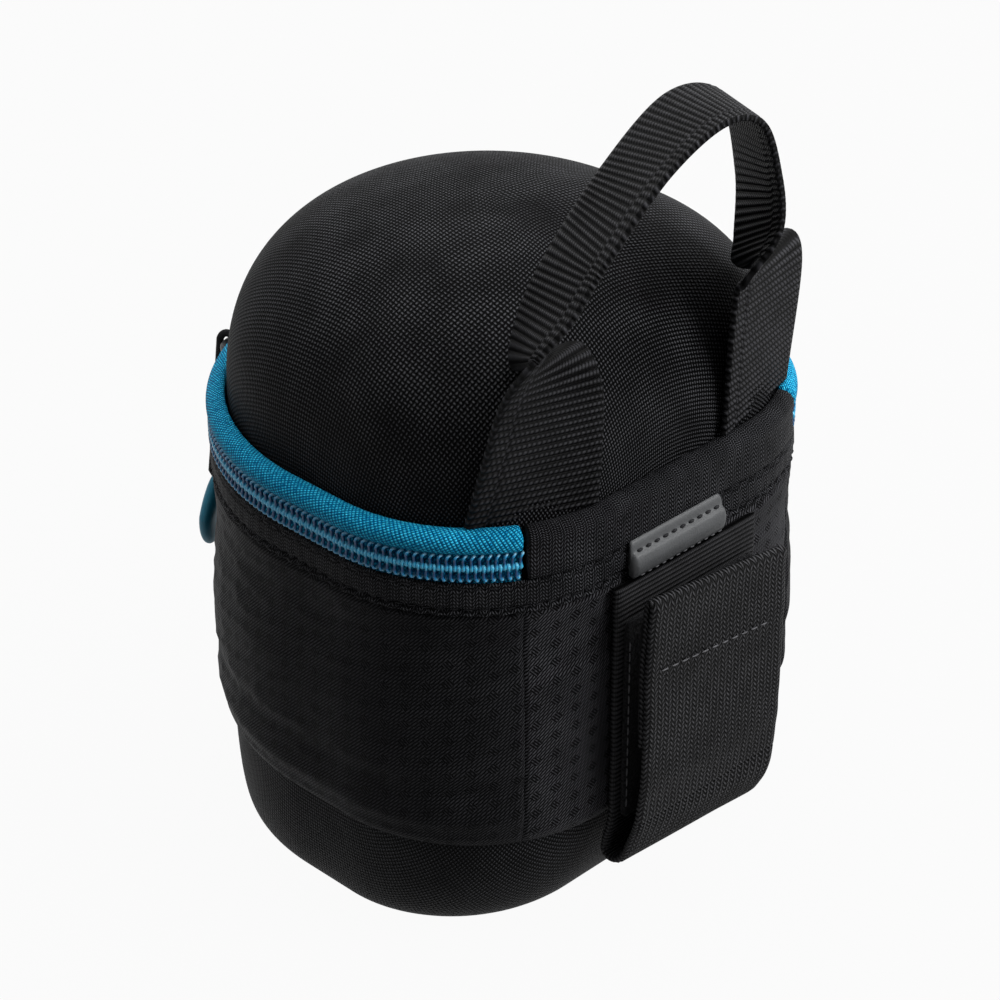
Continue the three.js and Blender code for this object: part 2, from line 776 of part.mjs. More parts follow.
// Grip moulded on the cord's ends: an oval with a flat top where the cord goes in
const grip_outline_shares = [[0.5, 0.03], [0.86, 0.18], [1, 0.45], [0.74, 0.82], [0.5, 1]];

function pullGrip() {
  const profile = [new THREE.Vector2(0, 0)];
  for (const [out, up] of grip_outline_shares) {
    profile.push(new THREE.Vector2(grip_width / 2 * out, grip_length * up));
  }
  profile.push(new THREE.Vector2(0, grip_length));
  const geometry = new THREE.LatheGeometry(profile, grip_sides);
  geometry.scale(grip_thickness / grip_width, 1, 1);
  geometry.rotateX(Math.PI / 2);
  geometry.translate(bar_centre, 0, grip_top_z - grip_length);
  return closedBody(geometry);
}

const finishes = {
  nylon: { color: 0x17181a, roughness: 0.82, metalness: 0 },
  twill: { color: 0x141416, roughness: 0.9, metalness: 0 },
  sleeve_fabric: { color: 0x1b1c1f, roughness: 0.75, metalness: 0 },
  lining: { color: 0x3a3d42, roughness: 0.95, metalness: 0 },
  foam: { color: 0x2b2c2e, roughness: 0.95, metalness: 0 },
  blue_tape: { color: 0x1486b8, roughness: 0.7, metalness: 0 },
  blue_coil: { color: 0x1b77ab, roughness: 0.35, metalness: 0 },
  webbing: { color: 0x121214, roughness: 0.85, metalness: 0 },
  leatherette: { color: 0x3b3c3e, roughness: 0.5, metalness: 0 },
  gunmetal: { color: 0x2c2e31, roughness: 0.35, metalness: 0.9 },
  rubber: { color: 0x0f6f8c, roughness: 0.45, metalness: 0 },
};

function piece(name, geometry, finish) {
  const mesh = new THREE.Mesh(geometry, new THREE.MeshStandardMaterial(finishes[finish]));
  mesh.name = name;
  return mesh;
}

const base = new THREE.Group();
base.add(
  piece('body_shell', bodyShell(), 'nylon'),
  piece('body_lining', bodyLining(), 'lining'),
  piece('bottom_pad', bottomPad(), 'foam'),
  piece('sleeve_foam', sleeveFoam(), 'foam'),
  piece('sleeve_front', sleeveFront(), 'sleeve_fabric'),
  piece('sleeve_back', sleeveBack(), 'sleeve_fabric'),
  piece('rim_band', rimBandPiece(), 'twill'),
  piece('base_binding', baseBinding(), 'twill'),
  piece('zip_tape_lower', zipTapeLower(), 'blue_tape'),
  piece('zip_coil_lower', zipCoil(-1), 'blue_coil'),
  piece('hinge_band_lower', hingeBandLower(), 'twill'),
  piece('leather_tab', leatherTab(), 'leatherette'),
  piece('belt_strap', beltStrap(), 'webbing'),
  piece('loop_patch', loopPatch(), 'webbing'),
);

const flap = new THREE.Group();
flap.add(
  piece('belt_flap', beltFlap(), 'webbing'),
  piece('hook_patch', hookPatch(), 'webbing'),
);

const lid = new THREE.Group();
lid.add(
  piece('lid_shell', lidShell(), 'nylon'),
  piece('lid_lining', lidLining(), 'lining'),
  piece('lid_binding', lidBinding(), 'twill'),
  piece('zip_tape_upper', zipTapeUpper(), 'blue_tape'),
  piece('zip_coil_upper', zipCoil(1), 'blue_coil'),
  piece('hinge_band_upper', hingeBandUpper(), 'twill'),
  piece('handle_webbing', handleWebbing(), 'webbing'),
);

// Each slider and its pull sit in a group at the rim, turned about the zip's centre; they
// are parked head to head, and each pull hangs a little outwards from its slider's bar
const slider_turn_degrees = THREE.MathUtils.radToDeg((slider_length + slider_gap) / rim_radius);

// Turned outwards about the slider's bar, as the pull hangs at rest
function hung(geometry) {
  geometry.translate(-bar_centre, 0, -zip_z);
  geometry.rotateY(-THREE.MathUtils.degToRad(pull_rest_degrees));
  return geometry.translate(bar_centre, 0, zip_z);
}

function sliderGroup(side, degrees, nose) {
  const group = new THREE.Group();
  const turn = THREE.MathUtils.degToRad(degrees);
  group.rotation.z = turn;
  group.position.set(rim_radius * Math.cos(turn), rim_radius * Math.sin(turn), 0);
  const body = piece(`slider_${side}`, sliderBody(nose), 'gunmetal');
  body.position.z = zip_z;
  group.add(
    body,
    piece(`pull_cord_${side}`, hung(pullCord()), 'webbing'),
    piece(`pull_grip_${side}`, hung(pullGrip()), 'rubber'),
  );
  return group;
}

const pouch = new THREE.Group();
pouch.add(
  base,
  flap,
  lid,
  sliderGroup('right', slider_right_degrees, -1),
  sliderGroup('left', slider_right_degrees - slider_turn_degrees, 1),
);

export default pouch;
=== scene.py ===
import math
import bpy
from mathutils import Matrix, Vector, noise


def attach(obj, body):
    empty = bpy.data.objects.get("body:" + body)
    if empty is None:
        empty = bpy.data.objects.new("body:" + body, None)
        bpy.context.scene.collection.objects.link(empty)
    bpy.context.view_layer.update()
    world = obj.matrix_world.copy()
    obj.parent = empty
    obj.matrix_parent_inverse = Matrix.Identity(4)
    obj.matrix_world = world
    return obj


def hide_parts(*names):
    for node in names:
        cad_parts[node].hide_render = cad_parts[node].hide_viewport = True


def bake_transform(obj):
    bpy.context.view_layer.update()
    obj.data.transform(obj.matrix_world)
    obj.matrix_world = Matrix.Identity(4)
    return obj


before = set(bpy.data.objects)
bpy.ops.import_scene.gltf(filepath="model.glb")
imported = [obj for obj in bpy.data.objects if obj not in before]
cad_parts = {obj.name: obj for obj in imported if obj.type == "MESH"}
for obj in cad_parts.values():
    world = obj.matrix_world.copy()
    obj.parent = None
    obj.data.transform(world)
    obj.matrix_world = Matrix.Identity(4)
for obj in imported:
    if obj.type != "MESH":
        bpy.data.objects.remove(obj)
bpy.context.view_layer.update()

# Lid: a dome of foam with black plain-weave nylon bonded to it, pressed hot in a mould. The cloth
# is one flat sheet, so its threads run straight over the top and lean as they go down the sides.
mm = 0.001
rim_radius = 54 * mm
rim_back = 48.4 * mm
rim_corner = 35.3 * mm
zip_height = 87.6 * mm
seam_height = 94.25 * mm
dome_inset = 3.95 * mm
dome_height = 37.5 * mm
dome_fullness = 2.42
dome_lean = 4.5 * mm
dome_wall = 2.5 * mm
dome_skirt = 4.4 * mm
skirt_share = 0.1
dent_grain = 22
dent_depth = 0.25 * mm
nylon_pitch = 0.8 * mm
weld_gap = 0.002 * mm

back_half = rim_radius - rim_corner
corner_length = rim_corner * math.pi / 2
corner_centre = rim_back - rim_corner
front_start = back_half + corner_length + corner_centre
rim_half = front_start + rim_radius * math.pi / 2


def rim_place(along, inset, height):
    """A spot by the rim: along it from the middle of the back towards +X, in from it, and up."""
    if abs(along) > rim_half:
        along -= math.copysign(2 * rim_half, along)
    side = -1 if along < 0 else 1
    way = abs(along)
    if way <= back_half:
        return Vector((along, rim_back - inset, height))
    if way <= back_half + corner_length:
        turn = (way - back_half) / rim_corner
        reach = rim_corner - inset
        x = back_half + reach * math.sin(turn)
        return Vector((side * x, corner_centre + reach * math.cos(turn), height))
    if way <= front_start:
        y = corner_centre - (way - back_half - corner_length)
        return Vector((side * (rim_radius - inset), y, height))
    turn = (way - front_start) / rim_radius
    reach = rim_radius - inset
    return Vector((side * reach * math.cos(turn), -reach * math.sin(turn), height))


def round_rim(across, inset, height):
    """A spot at a share of the way round the rim, from the middle of the front."""
    return rim_place((across * 2 - 1) * rim_half, inset, height)


def ray(spot, length):
    """A place in flat cloth at a length from its middle, in the direction of a spot."""
    return (length * spot.x / spot.length, length * spot.y / spot.length)


def mend(weld=0, flip=False):
    """Welds the active piece's points that lie together, and turns its faces outwards or round."""
    bpy.ops.object.mode_set(mode="EDIT")
    bpy.ops.mesh.select_all(action="SELECT")
    if weld:
        bpy.ops.mesh.remove_doubles(threshold=weld)
    if flip:
        bpy.ops.mesh.flip_normals()
    else:
        bpy.ops.mesh.normals_make_consistent(inside=False)
    bpy.ops.object.mode_set(mode="OBJECT")


def lay_out(name, columns, rows, place, flat=lambda across, up: (across, up)):
    """A sheet made from a grid: place says where a spot goes, flat where it is in flat cloth."""
    bpy.ops.object.select_all(action="DESELECT")
    bpy.ops.mesh.primitive_grid_add(x_subdivisions=columns, y_subdivisions=rows, size=1)
    piece = bpy.context.object
    piece.name = piece.data.name = name
    spots = [(vertex.co.x + 0.5, vertex.co.y + 0.5) for vertex in piece.data.vertices]
    cloth = piece.data.uv_layers.active.data
    flats = [flat(across, up) for across, up in spots]
    for loop in piece.data.loops:
        cloth[loop.index].uv = flats[loop.vertex_index]
    for vertex, (across, up) in zip(piece.data.vertices, spots):
        vertex.co = place(across, up)
    mend(weld_gap)
    bpy.ops.object.shade_smooth()
    return piece


def soften(degrees=50):
    """Smooth shading of the active piece that keeps the sharper edges."""
    bpy.ops.object.shade_smooth_by_angle(angle=math.radians(degrees))


def lay_wall(name, columns, rows, place, flat, eye, thickness, degrees=50):
    """A sheet that looks away from a height on the pouch's axis, with its thickness behind it."""
    wall = lay_out(name, columns, rows, place, flat)
    middle = Vector((0, 0, eye))
    faces = wall.data.polygons
    if sum(face.normal.dot(face.center - middle) * face.area for face in faces) < 0:
        mend(flip=True)
    depth = wall.modifiers.new("Wall", "SOLIDIFY")
    depth.thickness = thickness
    depth.offset = -1
    bpy.ops.object.modifier_apply(modifier="Wall")
    soften(degrees)
    return wall


def step(tree, kind, *sources, **settings):
    """One node with its settings, its inputs joined or set in order; gives its first output."""
    node = tree.nodes.new(kind)
    for setting, value in settings.items():
        setattr(node, setting, value)
    for socket, source in zip(node.inputs, sources):
        if isinstance(source, bpy.types.NodeSocket):
            tree.links.new(source, socket)
        elif source is not None:
            socket.default_value = source
    return node.outputs[0]


def maths(operation, *terms):
    """One sum, in the node tree of the first term that is a socket."""
    tree = next(term.id_data for term in terms if isinstance(term, bpy.types.NodeSocket))
    return step(tree, "ShaderNodeMath", *terms, operation=operation)


def cloth_axes(finish, across_pitch, along_pitch, turn=0):
    """Where a spot is in the flat cloth, counted in threads each way."""
    tree = finish.node_tree
    place = step(tree, "ShaderNodeUVMap", uv_map="UVMap")
    if turn:
        place = step(tree, "ShaderNodeVectorRotate", place, None, None, turn,
                     rotation_type="Z_AXIS")
    apart = step(tree, "ShaderNodeSeparateXYZ", place).node.outputs
    across = maths("MULTIPLY", apart[0], 1 / across_pitch)
    return across, maths("MULTIPLY", apart[1], 1 / along_pitch)


def wave(count):
    """Rises and falls once in two threads."""
    return maths("SINE", maths("MULTIPLY", count, math.pi))


def hump(count):
    """The round top of each thread."""
    return maths("ABSOLUTE", wave(count))


def off_middle(count):
    """How far a spot is from the middle of its cell, up to a half."""
    return maths("ABSOLUTE", maths("SUBTRACT", maths("FRACT", count), 0.5))


def varied(height, other, swing, least):
    """A height times another one that is brought between a least share and that plus a swing."""
    return maths("MULTIPLY", height, maths("MULTIPLY_ADD", other, swing, least))


def plain_weave(across, along, crown=0.55, cross=0.45):
    """Height of a plain weave: each thread is round across and passes over and under in turn."""
    lift = maths("MULTIPLY", maths("MULTIPLY", wave(across), wave(along)), cross)
    warp = maths("MULTIPLY_ADD", hump(across), crown, lift)
    weft = maths("MULTIPLY", hump(along), crown)
    return maths("MAXIMUM", warp, maths("SUBTRACT", weft, lift))


def patches(finish, size, least=0.0, most=1.0, detail=3.0):
    """A soft uneven factor between two values, in patches of a size."""
    place = step(finish.node_tree, "ShaderNodeTexCoord").node.outputs["Object"]
    cloud = step(finish.node_tree, "ShaderNodeTexNoise", place, None, 1 / size, detail)
    return maths("MULTIPLY_ADD", cloud, most - least, least)


def new_finish(name, roughness, sheen=0.0, specular=0.5):
    """A material with the numbers that are the same all over its surface."""
    finish = bpy.data.materials.new(name)
    finish.use_nodes = True
    inputs = finish.node_tree.nodes["Principled BSDF"].inputs
    for label, value in (("Roughness", roughness), ("Sheen Weight", sheen),
                         ("Sheen Roughness", 0.5), ("Specular IOR Level", specular)):
        inputs[label].default_value = value
    return finish


def colour_by(finish, height, tints):
    """Colours a surface by a height: tints are pairs of a height and its colour."""
    tree = finish.node_tree
    ramp = step(tree, "ShaderNodeValToRGB", height).node
    while len(ramp.color_ramp.elements) < len(tints):
        ramp.color_ramp.elements.new(0.5)
    for element, (level, colour) in zip(ramp.color_ramp.elements, tints):
        element.position = level
        element.color = (*colour, 1)
    tree.links.new(ramp.outputs[0], tree.nodes["Principled BSDF"].inputs["Base Color"])


def raise_by(finish, height, depth):
    """Gives a surface the relief of a height, with its real depth."""
    tree = finish.node_tree
    relief = step(tree, "ShaderNodeBump", 1.0, depth, None, height)
    tree.links.new(relief, tree.nodes["Principled BSDF"].inputs["Normal"])


def dye_and_paint_shade(finish, height, depth, tints, size, least=0.7, most=1.25, shade=None):
    """Raises a cloth by its height, and colours it by that or by a shade, unevenly in patches.
    Colouring by height paints shade into its hollows and highlights on its crowns.
    """
    cloud = patches(finish, size, least, most)
    colour_by(finish, maths("MULTIPLY", height if shade is None else shade, cloud), tints)
    raise_by(finish, height, depth)


def wear(finish, finish_slot, body, piece, *nodes):
    """Puts a finish on a piece, sets it on its body and hides what it stands for."""
    piece.data.materials.clear()
    piece.data.materials.append(finish)
    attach(piece, body)
    if nodes:
        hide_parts(*nodes)


nylon = new_finish("Black nylon", 0.5, specular=0.02)
nylon_threads = plain_weave(*cloth_axes(nylon, nylon_pitch, nylon_pitch))
# The ramp paints shade into the gaps between threads and highlights on their crowns; the patches
# are the cloth's own uneven tone.
dye_and_paint_shade(nylon, nylon_threads, 0.3 * mm, [
    (0.36, (0.0003, 0.0003, 0.0004)), (0.68, (0.0065, 0.0066, 0.0071)),
    (0.97, (0.070, 0.071, 0.077)),
], 9 * mm, 0.75, 1.2)


def dome_level(rise, height):
    """How far a dome's plan is drawn in at a share of its climb, and how high it is there."""
    climb = math.sin(math.pi / 2 * rise)
    share = max(0, 1 - climb ** dome_fullness) ** (1 / dome_fullness)
    return share, seam_height + height * climb


def make_dome(name, columns, rows, inset, height, thickness, steps=90):
    """A dome on the rim's plan. Its rise is negative below the seam, where a skirt goes down."""
    levels = [dome_level(1 - i / steps, height) for i in range(steps + 1)]
    lengths = [0]
    for (share, level), (lower_share, lower_level) in zip(levels, levels[1:]):
        spread = (lower_share - share) * (rim_radius - inset)
        lengths.append(lengths[-1] + math.hypot(spread, level - lower_level))

    def rise_of(up):
        return up / skirt_share - 1 if up < skirt_share else (up - skirt_share) / (1 - skirt_share)

    def place(across, up):
        rise = rise_of(up)
        share, level = dome_level(max(rise, 0), height)
        level += min(rise, 0) * dome_skirt
        spot = round_rim(across, inset, level)
        spot = Vector((spot.x * share, spot.y * share - dome_lean * (1 - share), level))
        dent = noise.noise(spot * dent_grain) * dent_depth
        return spot + Vector((spot.x, spot.y, 0)).normalized() * dent

    def flat(across, up):
        rise = rise_of(up)
        if rise < 0:
            length = lengths[-1] - rise * dome_skirt
        else:
            level = (1 - rise) * steps
            low = min(int(level), steps - 1)
            length = lengths[low] + (lengths[low + 1] - lengths[low]) * (level - low)
        return ray(round_rim(across, inset, 0), length)

    return lay_wall(name, columns, rows, place, flat, seam_height, thickness)


lid_dome = make_dome("lid_dome", 168, 76, dome_inset, dome_height, dome_wall)
wear(nylon, "nylon", "lid", lid_dome, "lid_shell")

# Lid lining: grey brushed tricot glued to the inside of the foam, and a twill tape sewn over the
# raw edges of foam and lining inside the mouth. Both show only when the lid is open.
lining_gap = 0.3 * mm
lining_thickness = 0.9 * mm
lining_inset = dome_inset + dome_wall + lining_gap

tricot = new_finish("Grey tricot", 0.9, sheen=0.1, specular=0.1)
tricot_ribs = hump(cloth_axes(tricot, 0.9 * mm, mm)[0])
tricot_pile = maths("MULTIPLY", tricot_ribs, patches(tricot, 0.6 * mm, 0.4, 1.3))
# Painted shade in the grooves between ribs and lighter rib tops; the fuzz is the pile's own uneven
# tone.
dye_and_paint_shade(tricot, tricot_pile, 0.15 * mm, [
    (0.0, (0.05, 0.055, 0.06)), (0.9, (0.12, 0.13, 0.14)),
], 14 * mm, 0.8, 1.2)

lid_tricot = make_dome("lid_tricot", 96, 40, lining_inset, dome_height - dome_wall - lining_gap,
                       lining_thickness)
wear(tricot, "lining", "lid", lid_tricot, "lid_lining")


def smooth_line(points, share):
    """A spot on a smooth line through points, at a share of the way along them."""
    count = len(points) - 1
    way = min(max(share, 0), 1) * count
    i = min(int(way), count - 1)
    part = way - i
    before = points[i - 1] if i else points[0] * 2 - points[1]
    after = points[i + 2] if i + 2 <= count else points[count] * 2 - points[count - 1]
    start, end = points[i], points[i + 1]
    bend = before * 2 - start * 5 + end * 4 - after
    twist = start * 3 - before - end * 3 + after
    return (start * 2 + (end - before) * part + bend * part ** 2 + twist * part ** 3) * 0.5


def draw_out(name, columns, rows, start, end, profile, put, end_round=0, steps=60):
    """A closed profile drawn out from start to end; put sets a spot of it down at a way along.
    With end_round its ends are closed, and drawn in round over that length."""
    closed = [*profile, profile[0]]
    middle = sum(profile, Vector()) / len(profile)
    spots = [smooth_line(closed, i / steps) for i in range(steps + 1)]
    around = sum((after - before).length for before, after in zip(spots, spots[1:]))

    def place(across, up):
        spot = smooth_line(closed, up)
        if end_round:
            away = min(across, 1 - across) * (end - start)
            size = math.sqrt(max(0, 1 - (1 - min(away / end_round, 1)) ** 2))
            spot = middle + (spot - middle) * size
        return put(start + (end - start) * across, spot)

    def flat(across, up):
        return (start + (end - start) * across, around * up)

    return lay_out(name, columns, rows, place, flat)


def make_band(name, columns, rows, start, end, profile, end_round=0):
    """A band along the rim. Its profile is in mm: inset from the rim and height above the zip."""
    profile = [Vector((inset * mm, zip_height + rise * mm, 0)) for inset, rise in profile]
    return draw_out(name, columns, rows, start, end, profile,
                    lambda along, spot: rim_place(along, spot.x, spot.y), end_round)


twill = new_finish("Black twill", 0.6, specular=0.03)
twill_across, twill_along = cloth_axes(twill, 0.55 * mm, 0.5 * mm)
twill_lines = hump(maths("ADD", twill_across, twill_along))
twill_height = varied(twill_lines, hump(maths("MULTIPLY", twill_across, 2.0)), 0.35, 0.65)
# The ramp paints shade into the grooves between twill lines and highlights along their tops.
dye_and_paint_shade(twill, twill_height, 0.22 * mm, [
    (0.25, (0.0005, 0.0005, 0.0006)), (0.9, (0.036, 0.036, 0.040)),
], 6 * mm)

lid_tape = make_band("lid_tape", 160, 16, -rim_half, rim_half, [
    (3.95, 1.95), (4.3, 0.55), (7.3, 0.55), (7.65, 1.95),
])
wear(twill, "twill", "lid", lid_tape, "lid_binding")

# Blue knitted tape: its upper edge is rolled over the seam between lid and zip and stuffed round,
# and the rest of it lies flat behind the coil.
zip_end = back_half + rim_corner * math.radians(29.3) + 0.15 * mm
zip_start = zip_end - 2 * rim_half
cut_square = 1e-9

knit = new_finish("Blue knit", 0.55, specular=0.05)
knit_across, knit_along = cloth_axes(knit, 0.72 * mm, 0.52 * mm, turn=0.5)
knit_loops = maths("MULTIPLY", hump(knit_across), hump(knit_along))
# The ramp paints shade between the loops and highlights on their tops, scattered in bright specks
# by the patches.
dye_and_paint_shade(knit, knit_loops, 0.25 * mm, [
    (0.05, (0.0003, 0.10, 0.25)), (0.4, (0.0008, 0.25, 0.50)), (0.95, (0.05, 0.64, 0.94)),
], 0.7 * mm, -0.5, 2.7)

roll = make_band("zip_roll", 420, 30, zip_start, -zip_end, [
    (1.5, 2.95), (0.6, 2.92), (0.1, 3.45), (0.0, 4.5), (0.35, 5.55), (1.1, 6.35), (2.1, 6.8),
    (3.1, 6.8), (3.6, 6.3), (3.6, 4.2), (2.9, 3.0),
], end_round=1.0 * mm)
wear(knit, "blue_tape", "lid", roll, "zip_tape_upper")

upper_tape = make_band("zip_tape_upper_back", 300, 8, zip_start, -zip_end, [
    (1.9, 0.2), (1.9, 3.5), (2.6, 3.5), (2.6, 0.2),
], end_round=cut_square)
wear(knit, "blue_tape", "lid", upper_tape)
lower_tape = make_band("zip_tape_lower_back", 300, 8, zip_start, -zip_end, [
    (1.9, -7.1), (1.9, -0.2), (2.6, -0.2), (2.6, -7.1),
], end_round=cut_square)
wear(knit, "blue_tape", "base", lower_tape, "zip_tape_lower")

# Zip coil: a nylon thread wound into a row of loops along each tape's edge. The loops' heads
# reach past the middle and lock between the heads of the other row.
coil_pitch = 1.47 * mm
coil_thread = 0.62 * mm
coil_head = (0.68, 0.88)
coil_head_swell = 1.4
coil_path = [Vector(point) * mm for point in [
    (-0.30, 1.4, 1.45), (-0.52, 2.10, 1.40), (-0.50, 2.45, 0.95), (-0.28, 2.42, 0.50),
    (0.02, 2.10, 0.38), (0.10, 1.4, 0.62), (0.04, 0.85, 0.62), (0.00, 0.20, 0.36),
    (0.02, -0.36, 0.52), (0.04, -0.40, 1.05), (0.10, 0.60, 1.42),
]]

coil_nylon = new_finish("Blue coil nylon", 0.22, specular=0.3)
coil_way = step(coil_nylon.node_tree, "ShaderNodeUVMap", uv_map="UVMap")
coil_way = step(coil_nylon.node_tree, "ShaderNodeSeparateXYZ", coil_way).node.outputs[1]
coil_shift = patches(coil_nylon, 0.8 * mm, -0.02, 0.02)
# The colour runs along each loop's thread: painted highlights on the back bends and on the heads,
# painted shade on the legs between them.
colour_by(coil_nylon, maths("MULTIPLY_ADD", coil_shift, 1.0, coil_way), [
    (0.12, (0.002, 0.20, 0.42)), (0.26, (0.36, 0.72, 0.92)), (0.36, (0.01, 0.30, 0.60)),
    (0.45, (0.0004, 0.06, 0.18)), (0.6, (0.0004, 0.07, 0.20)), (0.7, (0.04, 0.46, 0.74)),
    (0.86, (0.16, 0.60, 0.86)),
])


def rod_spot(path, up, side, wide, high, reach=0.02):
    """A spot on a rod along a path, wide and high off its middle. The rod is closed at its ends."""
    ahead = smooth_line(path, min(up + reach, 1)) - smooth_line(path, max(up - reach, 0))
    rise = ahead.normalized().cross(side).normalized()
    closed = 0 if up in (0, 1) else 1
    return smooth_line(path, up) + (side * wide + rise * high) * closed


def make_coil(name, side, count, start):
    """One row of loops: a single loop is bent from a rod, then copied along the rim."""
    def place(across, up):
        turn = across * 2 * math.pi
        wide = coil_head_swell if coil_head[0] < up < coil_head[1] else 1.0
        return rod_spot(coil_path, up, Vector((1, 0, 0)), math.cos(turn) * wide * coil_thread / 2,
                        math.sin(turn) * coil_thread / 2)

    row = lay_out(name, 6, 12, place)
    copies = row.modifiers.new("Row", "ARRAY")
    copies.count = count
    copies.use_relative_offset = False
    copies.use_constant_offset = True
    copies.constant_offset_displace = (coil_pitch, 0, 0)
    bpy.ops.object.modifier_apply(modifier="Row")
    for vertex in row.data.vertices:
        along, up, inset = vertex.co
        vertex.co = rim_place(start + along, inset, zip_height + side * up)
    if side > 0:
        mend()
    return row


coil_start = zip_start + 0.9 * mm
coil_count = int((2 * rim_half - 2 * zip_end - 1.6 * mm) / coil_pitch)
coil_upper = make_coil("zip_coil_upper_loops", 1, coil_count, coil_start)
wear(coil_nylon, "blue_coil", "lid", coil_upper, "zip_coil_upper")
coil_lower = make_coil("zip_coil_lower_loops", -1, coil_count, coil_start + coil_pitch / 2)
wear(coil_nylon, "blue_coil", "base", coil_lower, "zip_coil_lower")

# Hinge band: black crepe twill across the back from zip end to zip end. Its top is rolled over
# the seam like the blue tape, and its lower part is sewn under the twill band of the cup.
crepe = new_finish("Black crepe twill", 0.5, specular=0.03)
crepe_across, crepe_along = cloth_axes(crepe, 1.15 * mm, 0.72 * mm)
crepe_swing = maths("MULTIPLY", wave(crepe_across), 0.85)
crepe_rise = maths("ADD", crepe_along, maths("MULTIPLY", crepe_across, 0.3))
crepe_lines = hump(maths("ADD", crepe_rise, crepe_swing))
crepe_height = varied(crepe_lines, hump(maths("MULTIPLY", crepe_across, 2.0)), 0.5, 0.5)
# The ramp paints shade into the hollows of the crepe and highlights on its raised lines.
dye_and_paint_shade(crepe, crepe_height, 0.25 * mm, [
    (0.25, (0.0005, 0.0005, 0.0006)), (0.6, (0.007, 0.007, 0.008)), (0.97, (0.070, 0.071, 0.078)),
], 5 * mm)

hinge_band = make_band("hinge_band", 150, 44, -zip_end + 0.1 * mm, zip_end - 0.1 * mm, [
    (1.5, -3.2), (0.25, -2.8), (0.0, -1.4), (0.05, 0.6), (0.1, 2.6), (0.0, 4.6), (0.35, 5.6),
    (1.1, 6.4), (2.2, 6.8), (3.2, 6.7), (3.6, 6.1), (3.4, 3.6), (1.7, 1.6), (1.6, -1.0),
], end_round=0.5 * mm)
hinge_band.data.materials.append(crepe)
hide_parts("hinge_band_upper", "hinge_band_lower")
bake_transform(hinge_band)

# Cup: a pail of foam moulded with the same nylon as the lid. Its wall runs up inside the sleeve to
# the zip, and below the sleeve it rounds off towards the floor and leans forward.
cup_inset = 2.6 * mm
cup_wall = 2.5 * mm
cup_top = 83.2 * mm
cup_round_width = 8.8 * mm
cup_round_height = 30.2 * mm
cup_lean = 9.4 * mm
floor_share = 0.24
corner_share = 0.44
side_share = 1 - floor_share - corner_share


def make_cup(name, columns, rows, inset, floor, top, width, height, thickness):
    """A cup on the rim's plan: flat floor, round corner of a width and height, straight side."""
    def level_at(way):
        """Inset, height, the share by which the plan is drawn in, and the lean forward."""
        if way < floor_share:
            return inset + width, floor, way / floor_share, cup_lean
        if way < floor_share + corner_share:
            turn = (way - floor_share) / corner_share * math.pi / 2
            out = math.sin(turn)
            away = inset + width * (1 - out)
            return away, floor + height * (1 - math.cos(turn)), 1, cup_lean * (1 - out)
        side = (way - floor_share - corner_share) / side_share
        return inset, floor + height + (top - floor - height) * side, 1, 0

    def place(across, up):
        away, level, share, lean = level_at(up)
        spot = round_rim(across, away, level)
        return Vector((spot.x * share, spot.y * share - lean, level))

    def flat(across, up):
        away, level, share, lean = level_at(up)
        spot = round_rim(across, away, 0)
        run = width - (away - inset)
        length = spot.length * share
        if share == 1:
            length += math.hypot(run, level - floor) - run
        return ray(spot, length)

    return lay_wall(name, columns, rows, place, flat, top / 2, thickness)


cup = make_cup("cup_shell", 168, 60, cup_inset, 0, cup_top, cup_round_width, cup_round_height,
               cup_wall)
wear(nylon, "nylon", "base", cup, "body_shell")

# Inside of the cup: the same grey tricot as in the lid, a soft pad on the floor covered in it,
# and a twill tape over the raw edges at the mouth.
inner_inset = cup_inset + cup_wall + lining_gap
inner_floor = cup_wall + lining_gap
cup_lining = make_cup("cup_tricot", 96, 40, inner_inset, inner_floor, cup_top,
                      cup_round_width - 1.25 * mm, cup_round_height - inner_floor, lining_thickness)
wear(tricot, "lining", "base", cup_lining, "body_lining")

pad_inset = 14.8 * mm
pad_floor = cup_wall + lining_thickness + 2 * lining_gap
pad_height = 3.5 * mm
pad_dimple = 0.35 * mm


def pad_place(across, up):
    """The pad's skin from the middle of its underside, round its edge, to the middle of its top."""
    half = abs(up * 2 - 1)
    top = up > 0.5
    share = min(1, (1 - half) * 1.15)
    edge = math.sqrt(max(0, 1 - share ** 8))
    level = pad_floor + pad_height / 2 + (1 if top else -1) * pad_height / 2 * edge
    spot = round_rim(across, pad_inset, level)
    dimple = pad_dimple * (1 - share) if top else 0
    return Vector((spot.x * share, spot.y * share - cup_lean, level - dimple))


floor_pad = lay_out("floor_pad", 96, 44, pad_place, lambda across, up: (across * 0.3, up * 0.08))
soften()
wear(tricot, "foam", "base", floor_pad, "bottom_pad")

cup_tape = make_band("cup_tape", 160, 16, -rim_half, rim_half, [
    (2.6, -4.1), (2.95, -2.7), (5.95, -2.7), (6.3, -4.1),
])
wear(twill, "twill", "base", cup_tape, "base_binding")

# Sleeve: a quilted wrap of black dobby cloth over thin foam, glued round the cup. The front panel
# runs from seam to seam; the back panel between the seams carries the belt strap.
sleeve_bottom = 26.8 * mm
sleeve_top = 77.5 * mm
sleeve_thickness = 0.7 * mm
sleeve_edge = 0.5 * mm
sleeve_softness = 0.3 * mm
crease_depth = 0.2 * mm
crease_reach = 0.32
back_panel_inset = 0.45 * mm
back_softness = 0.2 * mm
seam_edge = zip_end + 0.15 * mm

